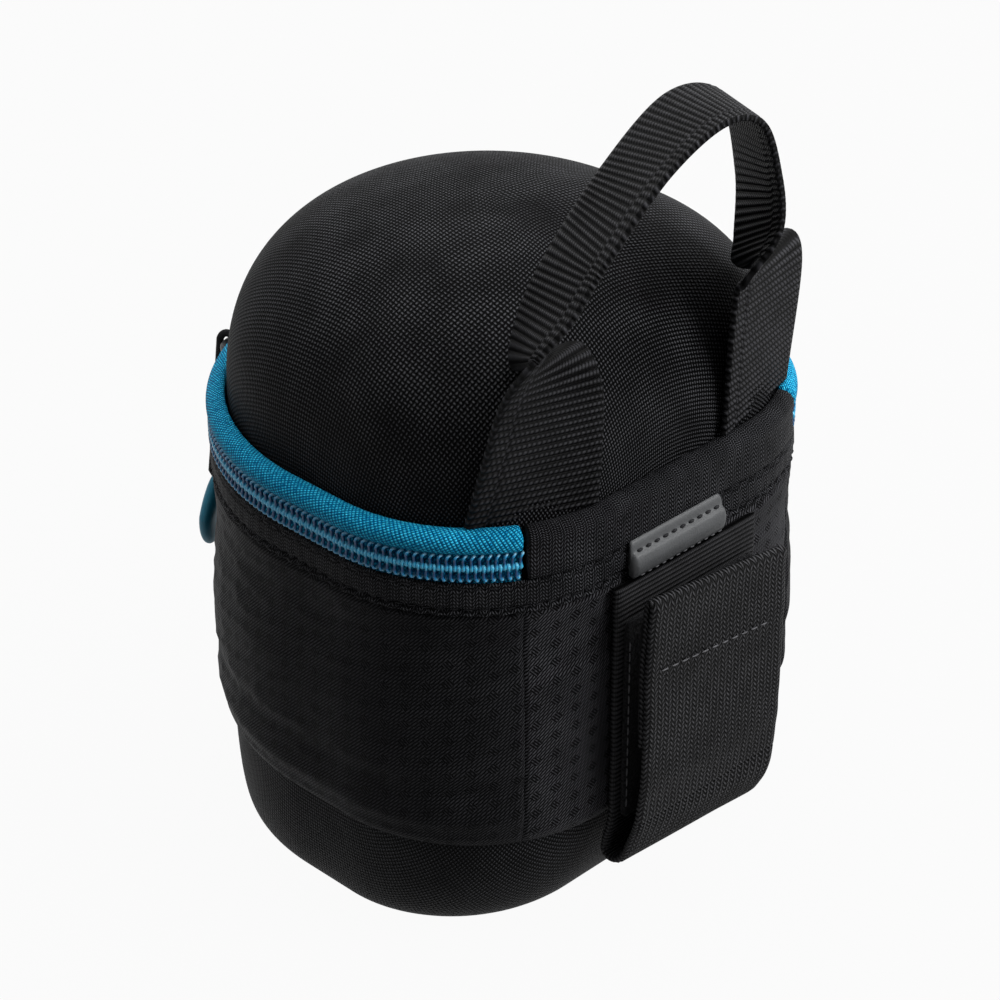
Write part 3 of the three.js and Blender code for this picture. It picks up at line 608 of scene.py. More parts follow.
dobby = new_finish("Black dobby cloth", 0.5, specular=0.02)
dobby_across, dobby_along = cloth_axes(dobby, 0.74 * mm, 0.74 * mm)
dobby_sum = maths("ADD", dobby_across, dobby_along)
dobby_difference = maths("SUBTRACT", dobby_across, dobby_along)
cell_across, cell_along = cloth_axes(dobby, 4.1 * mm, 3.9 * mm)
cell_along = maths("MULTIPLY_ADD", cell_across, 0.22, cell_along)
in_diamond = maths("ADD", off_middle(cell_across), off_middle(cell_along))
in_diamond = maths("LESS_THAN", in_diamond, 0.31)
dobby_lines = hump(dobby_sum)
dobby_swap = maths("SUBTRACT", hump(dobby_difference), dobby_lines)
dobby_lines = maths("ADD", dobby_lines, maths("MULTIPLY", dobby_swap, in_diamond))
dobby_run = maths("MULTIPLY", dobby_difference, 0.36)
dobby_run = maths("MULTIPLY_ADD", maths("FLOOR", dobby_sum), 0.5, dobby_run)
dobby_height = varied(dobby_lines, hump(dobby_run), 0.3, 0.72)
dobby_shade = maths("SUBTRACT", dobby_height, maths("MULTIPLY", in_diamond, 0.13))
# The ramp paints shade into the grooves and highlights on the raised lines; the darker diamonds are
# the cloth's woven pattern.
dye_and_paint_shade(dobby, dobby_height, 0.14 * mm, [
    (0.25, (0.0006, 0.0006, 0.0007)), (0.62, (0.009, 0.009, 0.010)), (0.98, (0.042, 0.042, 0.046)),
], 8 * mm, 0.75, 1.2, dobby_shade)


def wander(along, height, grain, seed):
    """Smooth noise. grain is how fast it changes along the rim and up, in steps per metre."""
    return noise.noise(Vector((along * grain[0], height * grain[1], seed)))


def curl(distance, size):
    """How far an edge of radius size has curled in at a distance from the very edge."""
    if distance >= size:
        return 0
    return size - math.sqrt(max(0, size ** 2 - (size - distance) ** 2))


def make_panel(name, columns, rows, start, end, bottom, top, inset_at, thickness, edge):
    """A panel of cloth along the rim, curled in at its four edges. inset_at gives its outside."""
    all_round = end - start > rim_half * 1.99

    def place(across, up):
        along = start + (end - start) * across
        height = bottom + (top - bottom) * up
        away = curl(min(height - bottom, top - height), edge)
        if not all_round:
            away = max(away, curl(min(across, 1 - across) * (end - start), edge))
        return rim_place(along, inset_at(along, height) + away, height)

    def flat(across, up):
        return (start + (end - start) * across, bottom + (top - bottom) * up)

    return lay_wall(name, columns, rows, place, flat, (bottom + top) / 2, thickness, 60)


# Share of the sleeve's height, and how far in from the rim its outside lies there in mm
sleeve_swell = [
    (0.0, 1.35), (0.05, 0.55), (0.13, -0.35), (0.2, -0.1), (0.25, 0.15), (0.34, -0.45),
    (0.5, -0.15), (0.66, 0.3), (0.76, 0.8), (0.86, 1.1), (0.93, 0.9), (1.0, 0.6),
]


def sleeve_inset_at(along, height):
    """The sleeve's outside: soft rolls round it, pulled in where it is quilted, small creases."""
    up = (height - sleeve_bottom) / (sleeve_top - sleeve_bottom)
    swell = sleeve_swell[-1][1]
    for (low, low_swell), (high, high_swell) in zip(sleeve_swell, sleeve_swell[1:]):
        if low <= up <= high:
            part = (up - low) / (high - low)
            swell = low_swell + (high_swell - low_swell) * part * part * (3 - 2 * part)
            break
    faint = min(1, up * 6)
    soft = wander(along, height, (38, 70), 1.7) * sleeve_softness * faint
    across_crease = abs(wander(along + height * 4 / 3, height, (90, 160), 5.1))
    crease = max(0, 1 - across_crease / crease_reach) * crease_depth * faint
    return swell * mm + soft - crease


def back_inset_at(along, height):
    soft = wander(along, height, (50, 60), 9.3) * back_softness
    return max(back_panel_inset, sleeve_inset_at(along, height)) + soft


sleeve_front = make_panel("sleeve_front_quilt", 380, 72, seam_edge - 2 * rim_half, -seam_edge,
                          sleeve_bottom, sleeve_top, sleeve_inset_at, sleeve_thickness, sleeve_edge)
wear(dobby, "sleeve_fabric", "base", sleeve_front, "sleeve_front")

sleeve_back = make_panel("sleeve_back_panel", 110, 64, -seam_edge, seam_edge,
                         sleeve_bottom, sleeve_top, back_inset_at, sleeve_thickness, sleeve_edge)
# The back panel gets a copy of the dobby with a lighter, stronger ramp: painted light for the lamp
# that grazes the back, on the same cloth.
dobby_back_painted_lighter = dobby.copy()
dobby_back_painted_lighter.name = "Black dobby cloth, back panel painted lighter"
back_painted_light_ramp = next(node for node in dobby_back_painted_lighter.node_tree.nodes if node.type == "VALTORGB").color_ramp
back_painted_light_ramp.elements[1].color = (0.014, 0.014, 0.0155, 1)
back_painted_light_ramp.elements[2].color = (0.080, 0.080, 0.088, 1)
wear(dobby_back_painted_lighter, "sleeve_fabric", "base", sleeve_back, "sleeve_back")

# Foam under the sleeve: grey, cut as a strip and hidden when the pouch is whole.
foam_bottom = 34.4 * mm
foam_top = 60.8 * mm
foam_inset = 1.6 * mm
foam = new_finish("Grey foam", 0.95, specular=0.1)
foam_cells = patches(foam, 0.35 * mm, 0.2, 1.0)
colour_by(foam, foam_cells, [(0.2, (0.03, 0.031, 0.033)), (0.9, (0.09, 0.092, 0.096))])
raise_by(foam, foam_cells, 0.1 * mm)
foam_strip = make_panel("sleeve_foam_strip", 170, 20, -rim_half, rim_half, foam_bottom, foam_top,
                        lambda along, height: foam_inset, thickness=0.6 * mm, edge=0.2 * mm)
wear(foam, "foam", "base", foam_strip, "sleeve_foam")

# Band of black twill sewn round the body under the zip, its lower edge turned under and sewn
# down on the sleeve, which puckers it a little.
band_bottom = 77.6 * mm
band_top = 84.35 * mm
lower_row = band_bottom + 1.35 * mm
upper_row = band_top - 1.0 * mm
band_rows = [(lower_row, 0.75 * mm, 0.5 * mm), (upper_row, 0.35 * mm, 0.4 * mm)]
band_inset = 0.3 * mm
band_softness = 0.25 * mm
pucker_depth = 0.22 * mm
pucker_size = mm / 2.1


def band_inset_at(along, height):
    """The band's outside: a groove at each row of stitches, and puckers towards its lower edge."""
    down = (band_top - height) / (band_top - band_bottom)
    sway = 2 * wander(along, 0, (60, 0), 3)
    pucker = pucker_depth * math.sin(along / pucker_size + sway) * down ** 2
    grooves = sum(depth * math.exp(-((height - row) / width) ** 2)
                  for row, depth, width in band_rows)
    soft = wander(along, height, (70, 120), 2.2) * band_softness
    return band_inset + grooves + pucker + soft


rim_band = make_panel("rim_band_twill", 520, 26, -rim_half, rim_half, band_bottom, band_top,
                      band_inset_at, thickness=1.0 * mm, edge=0.7 * mm)
wear(crepe, "twill", "base", rim_band, "rim_band")

# Stitches: two rows of black polyester thread through the band, one just under the coil and one
# along its lower edge. Each stitch dips into the cloth at both of its ends.
thread = new_finish("Black thread", 0.5, specular=0.1)
colour_by(thread, patches(thread, 0.4 * mm), [
    (0.2, (0.002, 0.002, 0.0025)), (0.9, (0.03, 0.03, 0.034)),
])


def sew(name, stitches, thickness=0.32 * mm):
    """A row of stitches as one piece. Each stitch has a start, an end and the way it stands out."""
    bpy.ops.object.select_all(action="DESELECT")
    bpy.ops.mesh.primitive_uv_sphere_add(segments=6, ring_count=5, radius=0.5)
    row = bpy.context.object
    row.name = row.data.name = name
    shape = [vertex.co.copy() for vertex in row.data.vertices]
    copies = row.modifiers.new("Copies", "ARRAY")
    copies.count = len(stitches)
    bpy.ops.object.modifier_apply(modifier="Copies")
    for i, (start, end, out) in enumerate(stitches):
        along = end - start
        side = along.normalized().cross(out.normalized())
        rise = side.cross(along.normalized())
        middle = (start + end) / 2
        for vertex, spot in zip(row.data.vertices[i * len(shape):(i + 1) * len(shape)], shape):
            bow = math.sqrt(max(0, 0.25 - spot.z ** 2)) * 0.6
            off = side * spot.x + rise * (spot.y + bow)
            vertex.co = middle + along * spot.z + off * thickness
    bpy.ops.object.shade_smooth()
    return row


def rim_row(start, end, height, pitch=2.6 * mm, length=1.768 * mm, sunk=0.02 * mm):
    """A row of stitches along the band at a height, which wanders a little."""
    stitches = []
    for i in range(int((end - start) / pitch)):
        first = start + i * pitch
        drift = 0.12 * mm * wander(first, height, (300, 50), 0)
        ends = [rim_place(along, band_inset_at(along, height) - sunk, height + drift)
                for along in (first, first + length)]
        out = rim_place(first, -10 * mm, height) - rim_place(first, 0, height)
        stitches.append((*ends, out))
    return stitches


def straight_row(count, start, pitch, length, out):
    """Stitches in a straight row, all in mm but the way they stand out."""
    starts = [(Vector(start) + Vector(pitch) * i) * mm for i in range(count)]
    return [(first, first + Vector(length) * mm, Vector(out)) for first in starts]


band_stitches = sew("rim_band_stitches", [
    *rim_row(-rim_half, rim_half, lower_row),
    *rim_row(zip_start, -zip_end, upper_row),
])
wear(thread, "twill", "base", band_stitches)

# Tab: a patch of grey embossed leatherette sewn on the band above the strap's end, with a row of
# black stitches along its ledge and a row of grey ones along its foot.
tab_left = -10 * mm
tab_right = 15 * mm
flap_foot = 29 * mm
flap_top = 75.2 * mm

leather = new_finish("Grey leatherette", 0.45, specular=0.3)
leather_place = step(leather.node_tree, "ShaderNodeTexCoord").node.outputs["Object"]
leather_grain = step(leather.node_tree, "ShaderNodeTexVoronoi", leather_place, None,
                     1 / (0.35 * mm), feature="SMOOTH_F1")
leather_tint = maths("MULTIPLY_ADD", leather_grain, 0.25, patches(leather, 3 * mm, 0.1, 0.75))
colour_by(leather, leather_tint, [(0.1, (0.042, 0.044, 0.046)), (0.9, (0.085, 0.088, 0.092))])
raise_by(leather, leather_grain, 0.04 * mm)


def make_strip(name, columns, rows, left, right, profile, slant=0):
    """A strip across the back: a closed profile of (y, z) in mm, drawn out along X. Its slant
    makes it climb to the right, the more so the higher up."""
    def put(x, spot):
        rise = (spot.y - flap_foot) / (flap_top - flap_foot)
        return Vector((x, spot.x, spot.y + x * slant * rise))

    strip = draw_out(name, columns, rows, left, right,
                     [Vector((y, z, 0)) * mm for y, z in profile], put, end_round=0.8 * mm)
    soften(60)
    return strip


tab = make_strip("leatherette_tab", 70, 48, tab_left, tab_right, [
    (48.3, 77.9), (49.2, 77.6), (50.2, 78.8), (50.6, 80.6), (50.2, 82.4), (49.3, 83.2),
    (49.0, 84.5), (48.6, 85.1), (48.2, 84.7), (48.2, 80.6),
])
wear(leather, "leatherette", "base", tab, "leather_tab")
tab_stitches = sew("leatherette_tab_stitches", straight_row(
    10, (-8.7, 49.3, 83.2), pitch=(2.3, 0, 0), length=(1.5, 0, 0), out=(0, 1, 0.3),
), thickness=0.6 * mm)
wear(thread, "twill", "base", tab_stitches)

pale_thread = new_finish("Grey thread", 0.5, specular=0.2)
colour_by(pale_thread, patches(pale_thread, 0.4 * mm), [
    (0.2, (0.05, 0.05, 0.054)), (0.9, (0.14, 0.14, 0.15)),
])
tab_hem = sew("leatherette_tab_hem", straight_row(
    12, (-8.8, 50.1, 78.35), pitch=(1.9, 0, 0), length=(1.1, 0, 0), out=(0, 1, -0.4),
), thickness=0.24 * mm)
wear(pale_thread, "twill", "base", tab_hem)

# Belt strap: one length of heavy nylon webbing, 38 mm wide. It comes down the back from under the
# band, folds up under the cup, and its free leg is the flap, with its end folded back inside.
strap_width = 38 * mm
strap_thickness = 1.5 * mm
strap_layer = 1.45 * mm
hem_layer = 1.2 * mm
strap_rib = 1.0 * mm
strap_steps = 4
strap_rib_height = 0.22 * mm
strap_edge_rib = 0.12 * mm
strap_sway = 0.25 * mm
strap_chain = 2.0 * mm
flap_rib_height = 0.08 * mm
flap_slant = 0.13
hem_share = 0.985
flare_height = 48.2 * mm
flare_reach = 6 * mm
flare_share = 0.05
chain_start = 30 * mm

# The strap's middle line as (y, z) in mm, at its +X edge and at its -X edge, from its top end down
# the leg, round the fold, up the flap, over its top and down the folded end
strap_right = [Vector((0, y, z)) for y, z in [
    (49.15, 77.4), (49.15, 68.2), (49.15, 58.2), (49.15, 48.2), (49.15, 38.2), (49.1, 30.2),
    (48.5, 24.9), (47.5, 21.5), (47.2, 19.1), (48.3, 17.7), (50.3, 17.9), (52.6, 20.7),
    (54.4, 25.5), (55.35, 28.85), (56.1, 33.2), (56.7, 38.2), (57, 44.2), (57.05, 52.2),
    (57.1, 60.2), (57.4, 68.2), (57.9, 73.8), (57.75, 75.4), (57, 75.4), (56.3, 73.8),
    (55.9, 66.2), (55.75, 58.2), (55.7, 50.2), (55.75, 45.2),
]]
strap_left = [Vector((0, y, z)) for y, z in [
    (49.15, 77.4), (49.15, 68.2), (49.15, 58.2), (49.15, 48.2), (49.15, 38.2), (49.1, 30.2),
    (48.8, 24.9), (48.5, 20.5), (48.8, 17.4), (50.2, 16.1), (52, 16.7), (54, 19.7),
    (55.7, 23.9), (56.4, 28.85), (56.7, 33.2), (56.9, 38.2), (57, 44.2), (57.05, 52.2),
    (57.05, 60.2), (57.05, 68.2), (57.05, 73.8), (56.95, 75.4), (56.45, 75.4), (55.85, 73.8),
    (55.7, 66.2), (55.7, 58.2), (55.65, 50.2), (55.6, 45.2),
]]
fold_point = 13
hem_point = 21
end_point = len(strap_right) - 1


def strap_spot(across, way):
    """Middle of the webbing at a place across it, from -1 to 1, and along its line's points."""
    share = way / end_point
    right = smooth_line(strap_right, share)
    spot = smooth_line(strap_left, share).lerp(right, (across + 1) / 2) * mm
    spot.x = across * strap_width / 2
    if way > fold_point:
        rise = min(max((spot.z - flap_foot) / (flap_top - flap_foot), 0), 1.1)
        spot.z += spot.x * flap_slant * rise
    return spot


def even_ways(line, start, end, count_for, fine):
    """Ways from start to end that lie evenly on a line, and how long it is between them. count_for
    says how many steps a length has."""
    marks = [start + (end - start) * i / fine for i in range(fine + 1)]
    spots = [line(mark) for mark in marks]
    lengths = [0]
    for before, after in zip(spots, spots[1:]):
        lengths.append(lengths[-1] + (after - before).length)
    count = count_for(lengths[-1])
    ways, i = [], 0
    for row in range(count + 1):
        wanted = lengths[-1] * row / count
        while i < fine - 1 and lengths[i + 1] < wanted:
            i += 1
        part = (wanted - lengths[i]) / (lengths[i + 1] - lengths[i])
        ways.append(marks[i] + (marks[i + 1] - marks[i]) * min(max(part, 0), 1))
    return ways, lengths[-1]


def webbing_section(turn, half, thick):
    """A flat band's section: a place across it, a lift off its middle, and 1 or -1 on its two
    faces or 0 on its round edges. A turn goes once round: a face, an edge, a face, an edge."""
    half_turn = turn % 1 * 2
    back = half_turn >= 1
    part = half_turn % 1
    side = -1 if back else 1
    if part < 0.9:
        return side * (half - 2 * half * part / 0.9), side * thick / 2, side
    bow = (part - 0.9) / 0.1 * math.pi
    return -side * (half + math.sin(bow) * thick / 2), side * math.cos(bow) * thick / 2, 0


def make_strap(name, start, end, run=0):
    """A length of the strap between two points of its line. run is where its cloth starts."""
    ways, length = even_ways(lambda way: strap_spot(0, way), start, end,
                             lambda length: round(length / strap_rib * strap_steps), 600)
    rows = len(ways) - 1

    def place(across, up):
        row = round(up * rows)
        way = ways[row]
        inner = way > hem_point
        thick = hem_layer if inner else strap_layer
        out, lift, face = webbing_section(across, strap_width / 2 - thick / 2, thick)
        share = max(-1, min(1, out / (strap_width / 2)))
        spot = strap_spot(share, way)
        ahead, behind = (strap_spot(share, min(max(way + near, 0), end_point))
                         for near in (0.05, -0.05))
        normal = (ahead - behind).cross(Vector((1, 0, 0))).normalized()
        spot.x = out
        if inner:
            flare = max(0, 1 - abs(spot.z - flare_height) / flare_reach) if out < 0 else 0
            spot.x *= hem_share + flare_share * flare
        ribs = abs(math.sin(math.pi * row / strap_steps)) - 0.5
        closed = 0 if row in (0, rows) else 1
        spot.x += math.copysign(strap_edge_rib * ribs, out) if abs(share) > 0.9 else 0
        sway = wander(spot.x, spot.z, (40, 40), way) * strap_sway
        depth = strap_rib_height if way <= fold_point else flap_rib_height
        return spot + normal * (lift * closed + depth * ribs * face * closed + sway)

    def flat(across, up):
        return (webbing_section(across, strap_width / 2, strap_thickness)[0], run + length * up)

    return lay_out(name, 60, rows, place, flat), run + length


ribbed = new_finish("Black webbing, ribbed face", 0.5, specular=0.05)
ribbed_across, ribbed_along = cloth_axes(ribbed, 0.42 * mm, strap_rib)
ribbed_height = varied(hump(ribbed_along), hump(ribbed_across), 0.45, 0.55)
# The ramp paints shade into the grooves between ribs and highlights on their tops.
dye_and_paint_shade(ribbed, ribbed_height, 0.25 * mm, [
    (0.3, (0.0003, 0.0003, 0.0004)), (0.95, (0.040, 0.040, 0.043)),
], 4 * mm)

chained = new_finish("Black webbing, chain face", 0.5, specular=0.06)
chain_across, chain_along = cloth_axes(chained, strap_chain, 1.05 * mm)
chain_links = hump(maths("MULTIPLY_ADD", off_middle(chain_across), 2.0, chain_along))
chain_height = varied(chain_links, hump(maths("MULTIPLY", chain_across, 2.0)), 0.6, 0.4)
# The ramp paints shade into the dips between links and highlights on their tops.
dye_and_paint_shade(chained, chain_height, 0.4 * mm, [
    (0.3, (0.0002, 0.0002, 0.0003)), (0.56, (0.006, 0.006, 0.0066)), (0.95, (0.056, 0.056, 0.060)),
], 4 * mm)

strap, strap_length = make_strap("belt_strap_webbing", 0, fold_point)
wear(ribbed, "webbing", "base", strap, "belt_strap")
strap.data.materials.append(chained)
fold_middle = Vector((0, 51.3 * mm, 26 * mm))
for face in strap.data.polygons:
    away = face.center - fold_middle
    away.x = 0
    face.material_index = int(face.center.z < chain_start and face.normal.dot(away) > 0)
flap, _ = make_strap("belt_flap_webbing", fold_point, end_point, strap_length)
flap.data.materials.append(chained)
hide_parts("belt_flap")
hem_stitches = sew("belt_flap_stitches", straight_row(
    11, (15.8, 57.95, 62.7), pitch=(-2.75, 0, -0.3), length=(-1.9, 0, -0.2), out=(0, 1, 0),
), thickness=0.34 * mm)
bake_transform(flap)
wear(pale_thread, "webbing", "belt_flap", hem_stitches)

# Touch fastener: a fuzzy loop tape on the strap's leg, sewn down each side, and a stiff hook tape
# on the flap's folded end.
tape_half = 17.8 * mm

loop_pile = new_finish("Black loop pile", 0.95, sheen=0.03, specular=0.04)
pile_fuzz = patches(loop_pile, 0.5 * mm, -0.2, 1.3)
colour_by(loop_pile, pile_fuzz, [(0.2, (0.002, 0.002, 0.0025)), (0.9, (0.028, 0.028, 0.030))])
raise_by(loop_pile, pile_fuzz, 0.35 * mm)
loop_tape = make_strip("loop_tape", 60, 90, -tape_half, tape_half, [
    (50.05, 70), (50.05, 55.2), (50.05, 40.2), (50.05, 28.7), (50.5, 27.2), (51.2, 27.8),
    (51.4, 32.2), (51.4, 45.2), (51.4, 60.2), (51.2, 69.2), (50.6, 70.2),
])
wear(loop_pile, "webbing", "base", loop_tape, "loop_patch")
loop_edge = sew("loop_tape_stitches", [
    stitch for x in (-17.2, 17.2)
    for stitch in straight_row(16, (x, 51.45, 30), (0, 0, 2.3), (0, 0, 2), (0, 1, 0))
], thickness=0.3 * mm)
wear(pale_thread, "webbing", "base", loop_edge)

hooks = new_finish("Black hook tape", 0.5, specular=0.2)
hook_across, hook_along = cloth_axes(hooks, 0.9 * mm, 0.9 * mm)
hook_height = maths("MULTIPLY", hump(hook_across), hump(hook_along))
# Painted shade in the dips between hooks and lighter tops.
colour_by(hooks, hook_height, [(0.2, (0.003, 0.003, 0.0035)), (0.9, (0.03, 0.03, 0.032))])
raise_by(hooks, hook_height, 0.4 * mm)
hook_tape = make_strip("hook_tape", 60, 60, -tape_half, tape_half, [
    (54.85, 70.2), (54.85, 60.2), (54.85, 48.2), (54.6, 46.2), (54.1, 46.6), (53.9, 50.2),
    (53.9, 60.2), (53.95, 69.2), (54.3, 70.4),
], flap_slant)
wear(hooks, "webbing", "belt_flap", hook_tape, "hook_patch")

# Handle: nylon webbing, 25 mm wide, with strong crosswise ribs. Both feet are sewn into the seam
# between lid and roll, and it twists on its way up so that it stands over the lid's back.
handle_width = 25 * mm
handle_thickness = 1.4 * mm
handle_inset = 2.6 * mm
handle_rise = 67 * mm
handle_half_span = 40 * mm
handle_right_foot = 34.2 * mm
handle_left_foot = -26.7 * mm
handle_foot_height = seam_height + 0.5 * mm
handle_rib = 1.4 * mm
handle_steps = 6
handle_rib_height = 0.34 * mm
handle_face_share = 0.8
handle_edge_bow = 0.3 * mm
handle_edge_rib = 0.08 * mm
handle_yarn = 1.1 * mm
selvedge_width = 3.5 * mm
lean_way = 0.345
lean_most = 0.125
lean_span_before = 0.1
lean_span_after = 0.085

# Each edge between its feet: shares of the half span across, of the width back, and of the rise
handle_near = [
    (1.08, -0.15, 0.24), (1.07, 0.00, 0.42), (1.03, 0.16, 0.53), (0.95, 0.26, 0.60),
    (0.85, 0.30, 0.65), (0.74, 0.31, 0.72), (0.61, 0.30, 0.78), (0.26, 0.29, 0.93),
    (-0.09, 0.29, 1.00), (-0.34, 0.29, 0.95), (-0.45, 0.31, 0.78), (-0.48, 0.31, 0.65),
    (-0.45, 0.26, 0.57), (-0.42, 0.19, 0.52), (-0.38, 0.12, 0.46), (-0.37, 0.06, 0.40),
]
handle_far = [
    (0.47, 0.01, 0.19), (0.46, -0.02, 0.34), (0.47, -0.20, 0.43), (0.59, -0.38, 0.40),
    (0.74, -0.41, 0.40), (0.68, -0.48, 0.49), (0.49, -0.56, 0.60), (0.09, -0.60, 0.79),
    (-0.34, -0.60, 0.93), (-0.66, -0.54, 0.88), (-0.76, -0.48, 0.65), (-0.74, -0.44, 0.46),
    (-0.75, -0.46, 0.38), (-0.85, -0.39, 0.36), (-0.96, -0.28, 0.45), (-0.98, -0.15, 0.38),
]


def handle_edge(points, side):
    """One edge of the handle from the right foot to the left foot."""
    half = handle_width / 2 * rim_corner / (rim_corner - handle_inset) * side
    middle = [Vector((handle_half_span * across, rim_back - dome_inset + handle_width * back,
                      seam_height + handle_rise * up)) for across, back, up in points]
    feet = [rim_place(foot + half, handle_inset, handle_foot_height)
            for foot in (handle_right_foot, handle_left_foot)]
    return [feet[0], *middle, feet[1]]


near_edge = handle_edge(handle_near, 1)
far_edge = handle_edge(handle_far, -1)


def handle_spot(across, way):
    """A spot on the handle's middle layer; on its right leg the ribs lean towards the foot."""
    span = lean_span_before if way < lean_way else lean_span_after
    lag = lean_most * math.exp(-((way - lean_way) / span) ** 2)
    return smooth_line(near_edge, way - lag).lerp(smooth_line(far_edge, way), across)


handle_ways, handle_length = even_ways(
    lambda way: handle_spot(0.5, way), 0, 1,
    lambda length: round(length / handle_rib) * handle_steps, 1500)
handle_rows = len(handle_ways) - 1


def handle_place(across, up):
    """The handle's skin: ribs on both faces, set off by half a rib along one edge."""
    row = round(up * handle_rows)
    way = handle_ways[row]
    out, lift, face = webbing_section(across, 0.5, 1)
    share = min(max(0.5 - out, 0.0), 1.0)
    spot = handle_spot(share, way)
    along = handle_spot(share, min(way + 0.004, 1)) - handle_spot(share, max(way - 0.004, 0))
    sideways = handle_spot(1, way) - handle_spot(0, way)
    normal = sideways.cross(along).normalized()
    sideways.normalize()
    selvedge = handle_steps / 2 if share < selvedge_width / handle_width else 0
    ribs = abs(math.sin(math.pi * (row + selvedge) / handle_steps)) - 0.4
    closed = 0 if row in (0, handle_rows) else 1
    if face:
        ribs *= handle_rib_height * min(1, min(share, 1 - share) / 0.04)
        lift *= handle_thickness * handle_face_share
        return spot + normal * (lift + ribs * face) * closed
    bow = math.sqrt(max(0, 1 - (2 * lift) ** 2))
    away = (bow * handle_edge_bow + ribs * handle_edge_rib) * (-1 if out > 0 else 1)
    return spot + (normal * lift * handle_thickness + sideways * away) * closed


def handle_flat(across, up):
    return (webbing_section(across, handle_width / 2, handle_thickness)[0], handle_length * up)


handle_cords = new_finish("Black handle webbing", 0.5, specular=0.05)
cord_across, cord_along = cloth_axes(handle_cords, handle_yarn, handle_rib)
in_selvedge = maths("GREATER_THAN", cord_across, (handle_width / 2 - selvedge_width) / handle_yarn)
cord_along = maths("MULTIPLY_ADD", in_selvedge, 0.5, cord_along)
cord_yarns = hump(maths("MULTIPLY_ADD", cord_along, 0.5, cord_across))
cord_height = varied(hump(cord_along), cord_yarns, 0.5, 0.5)
# The ramp paints shade into the grooves between cords and highlights on their tops.
dye_and_paint_shade(handle_cords, cord_height, 0.4 * mm, [
    (0.28, (0.0003, 0.0003, 0.0004)), (0.6, (0.004, 0.004, 0.0045)), (0.97, (0.036, 0.036, 0.040)),
], 4 * mm)

handle = lay_out("handle_ribbed_webbing", 48, handle_rows, handle_place, handle_flat)
wear(handle_cords, "webbing", "handle", handle, "handle_webbing")

# Sliders: die-cast zinc, painted dark. Each has a plate over the coil, rounded at its nose, and a
# bridge that holds the pull's cord. They are parked head to head.
slider_length = 10.4 * mm
slider_gap = 0.9 * mm
slider_half = 3.6 * mm
slider_nose_swell = 0.4 * mm
slider_plate = 1.3 * mm
slider_out = 1.05 * mm
slider_turns = [-73, -73 - math.degrees((slider_length + slider_gap) / rim_radius)]
bridge_path = [Vector((along, 0, out)) * mm for along, out in [
    (-3.2, 1.2), (-3.3, 3.0), (-2.4, 4.3), (0, 4.6), (2.4, 4.3), (3.3, 3.0), (3.2, 1.2),
]]

zinc = new_finish("Dark painted zinc", 0.34, specular=0.6)
zinc.node_tree.nodes["Principled BSDF"].inputs["Metallic"].default_value = 0.6
colour_by(zinc, patches(zinc, 2.5 * mm), [
    (0.2, (0.018, 0.019, 0.021)), (0.9, (0.045, 0.047, 0.052)),
])


def at_slider(turn, out, along, up):
    """A spot on a slider: out from the coil's outside, along the zip, and up from its middle."""
    angle = math.radians(turn)
    outwards = Vector((math.cos(angle), math.sin(angle), 0))
    onwards = Vector((-math.sin(angle), math.cos(angle), 0))
    return outwards * (rim_radius + out) + onwards * along + Vector((0, 0, zip_height + up))


def bridge_place(across, up):
    """The bridge's skin: a bar with rounded corners, bent over the plate."""
    wide, high = (math.copysign(abs(side) ** 0.5, side) * half for side, half in (
        (math.cos(across * 2 * math.pi), 0.8 * mm), (math.sin(across * 2 * math.pi), 0.6 * mm)))
    return rod_spot(bridge_path, up, Vector((0, 1, 0)), wide, high)


def make_slider(name, turn, nose):
    """A slider is drawn flat, its plate then its bridge, and then set on the rim."""
    bpy.ops.object.select_all(action="DESELECT")
    bpy.ops.mesh.primitive_cylinder_add(vertices=40, radius=1, depth=1, end_fill_type="NGON")
    slider = bpy.context.object
    slider.name = slider.data.name = name
    for vertex in slider.data.vertices:
        along, up, out = vertex.co
        stretch = 1 / (along ** 4 + up ** 4) ** 0.25
        along, up = along * stretch, up * stretch
        half = slider_half + slider_nose_swell * along * nose
        vertex.co = Vector((along * slider_length / 2, up * half, slider_out + out * slider_plate))
    rounded = slider.modifiers.new("Rounded", "BEVEL")
    rounded.width = 0.4 * mm
    rounded.segments = 3
    rounded.limit_method = "ANGLE"
    bpy.ops.object.modifier_apply(modifier="Rounded")
    lay_out(name + "_bridge", 16, 24, bridge_place)
    slider.select_set(True)
    bpy.context.view_layer.objects.active = slider
    bpy.ops.object.join()
    for vertex in slider.data.vertices:
        along, up, out = vertex.co
        vertex.co = at_slider(turn, out, along, up)
    mend()
    soften(40)
    return slider


for label, turn, nose in (("right", slider_turns[0], -1), ("left", slider_turns[1], 1)):
    slider = make_slider("slider_" + label + "_cast", turn, nose)
    wear(zinc, "gunmetal", "slider_" + label, slider, "slider_" + label)

# Pulls: a loop of black cord through each slider's bridge, its two ends moulded into a flat oval
# grip of teal rubber that is dished on both sides.
rubber = new_finish("Teal rubber", 0.5, specular=0.4)
rubber_tint = patches(rubber, 1.5 * mm, 0.1, 0.9)
colour_by(rubber, rubber_tint, [(0.1, (0.004, 0.13, 0.21)), (0.9, (0.008, 0.19, 0.29))])
raise_by(rubber, rubber_tint, 0.05 * mm)

cord_weave = new_finish("Black braided cord", 0.6, specular=0.05)
braid_across, braid_along = cloth_axes(cord_weave, 0.6 * mm, 0.6 * mm)
braid = plain_weave(maths("ADD", braid_across, braid_along),
                    maths("SUBTRACT", braid_across, braid_along))
# Painted shade in the hollows of the braid and lighter crowns.
colour_by(cord_weave, braid, [(0.1, (0.003, 0.003, 0.0035)), (0.95, (0.04, 0.04, 0.043))])
raise_by(cord_weave, braid, 0.15 * mm)

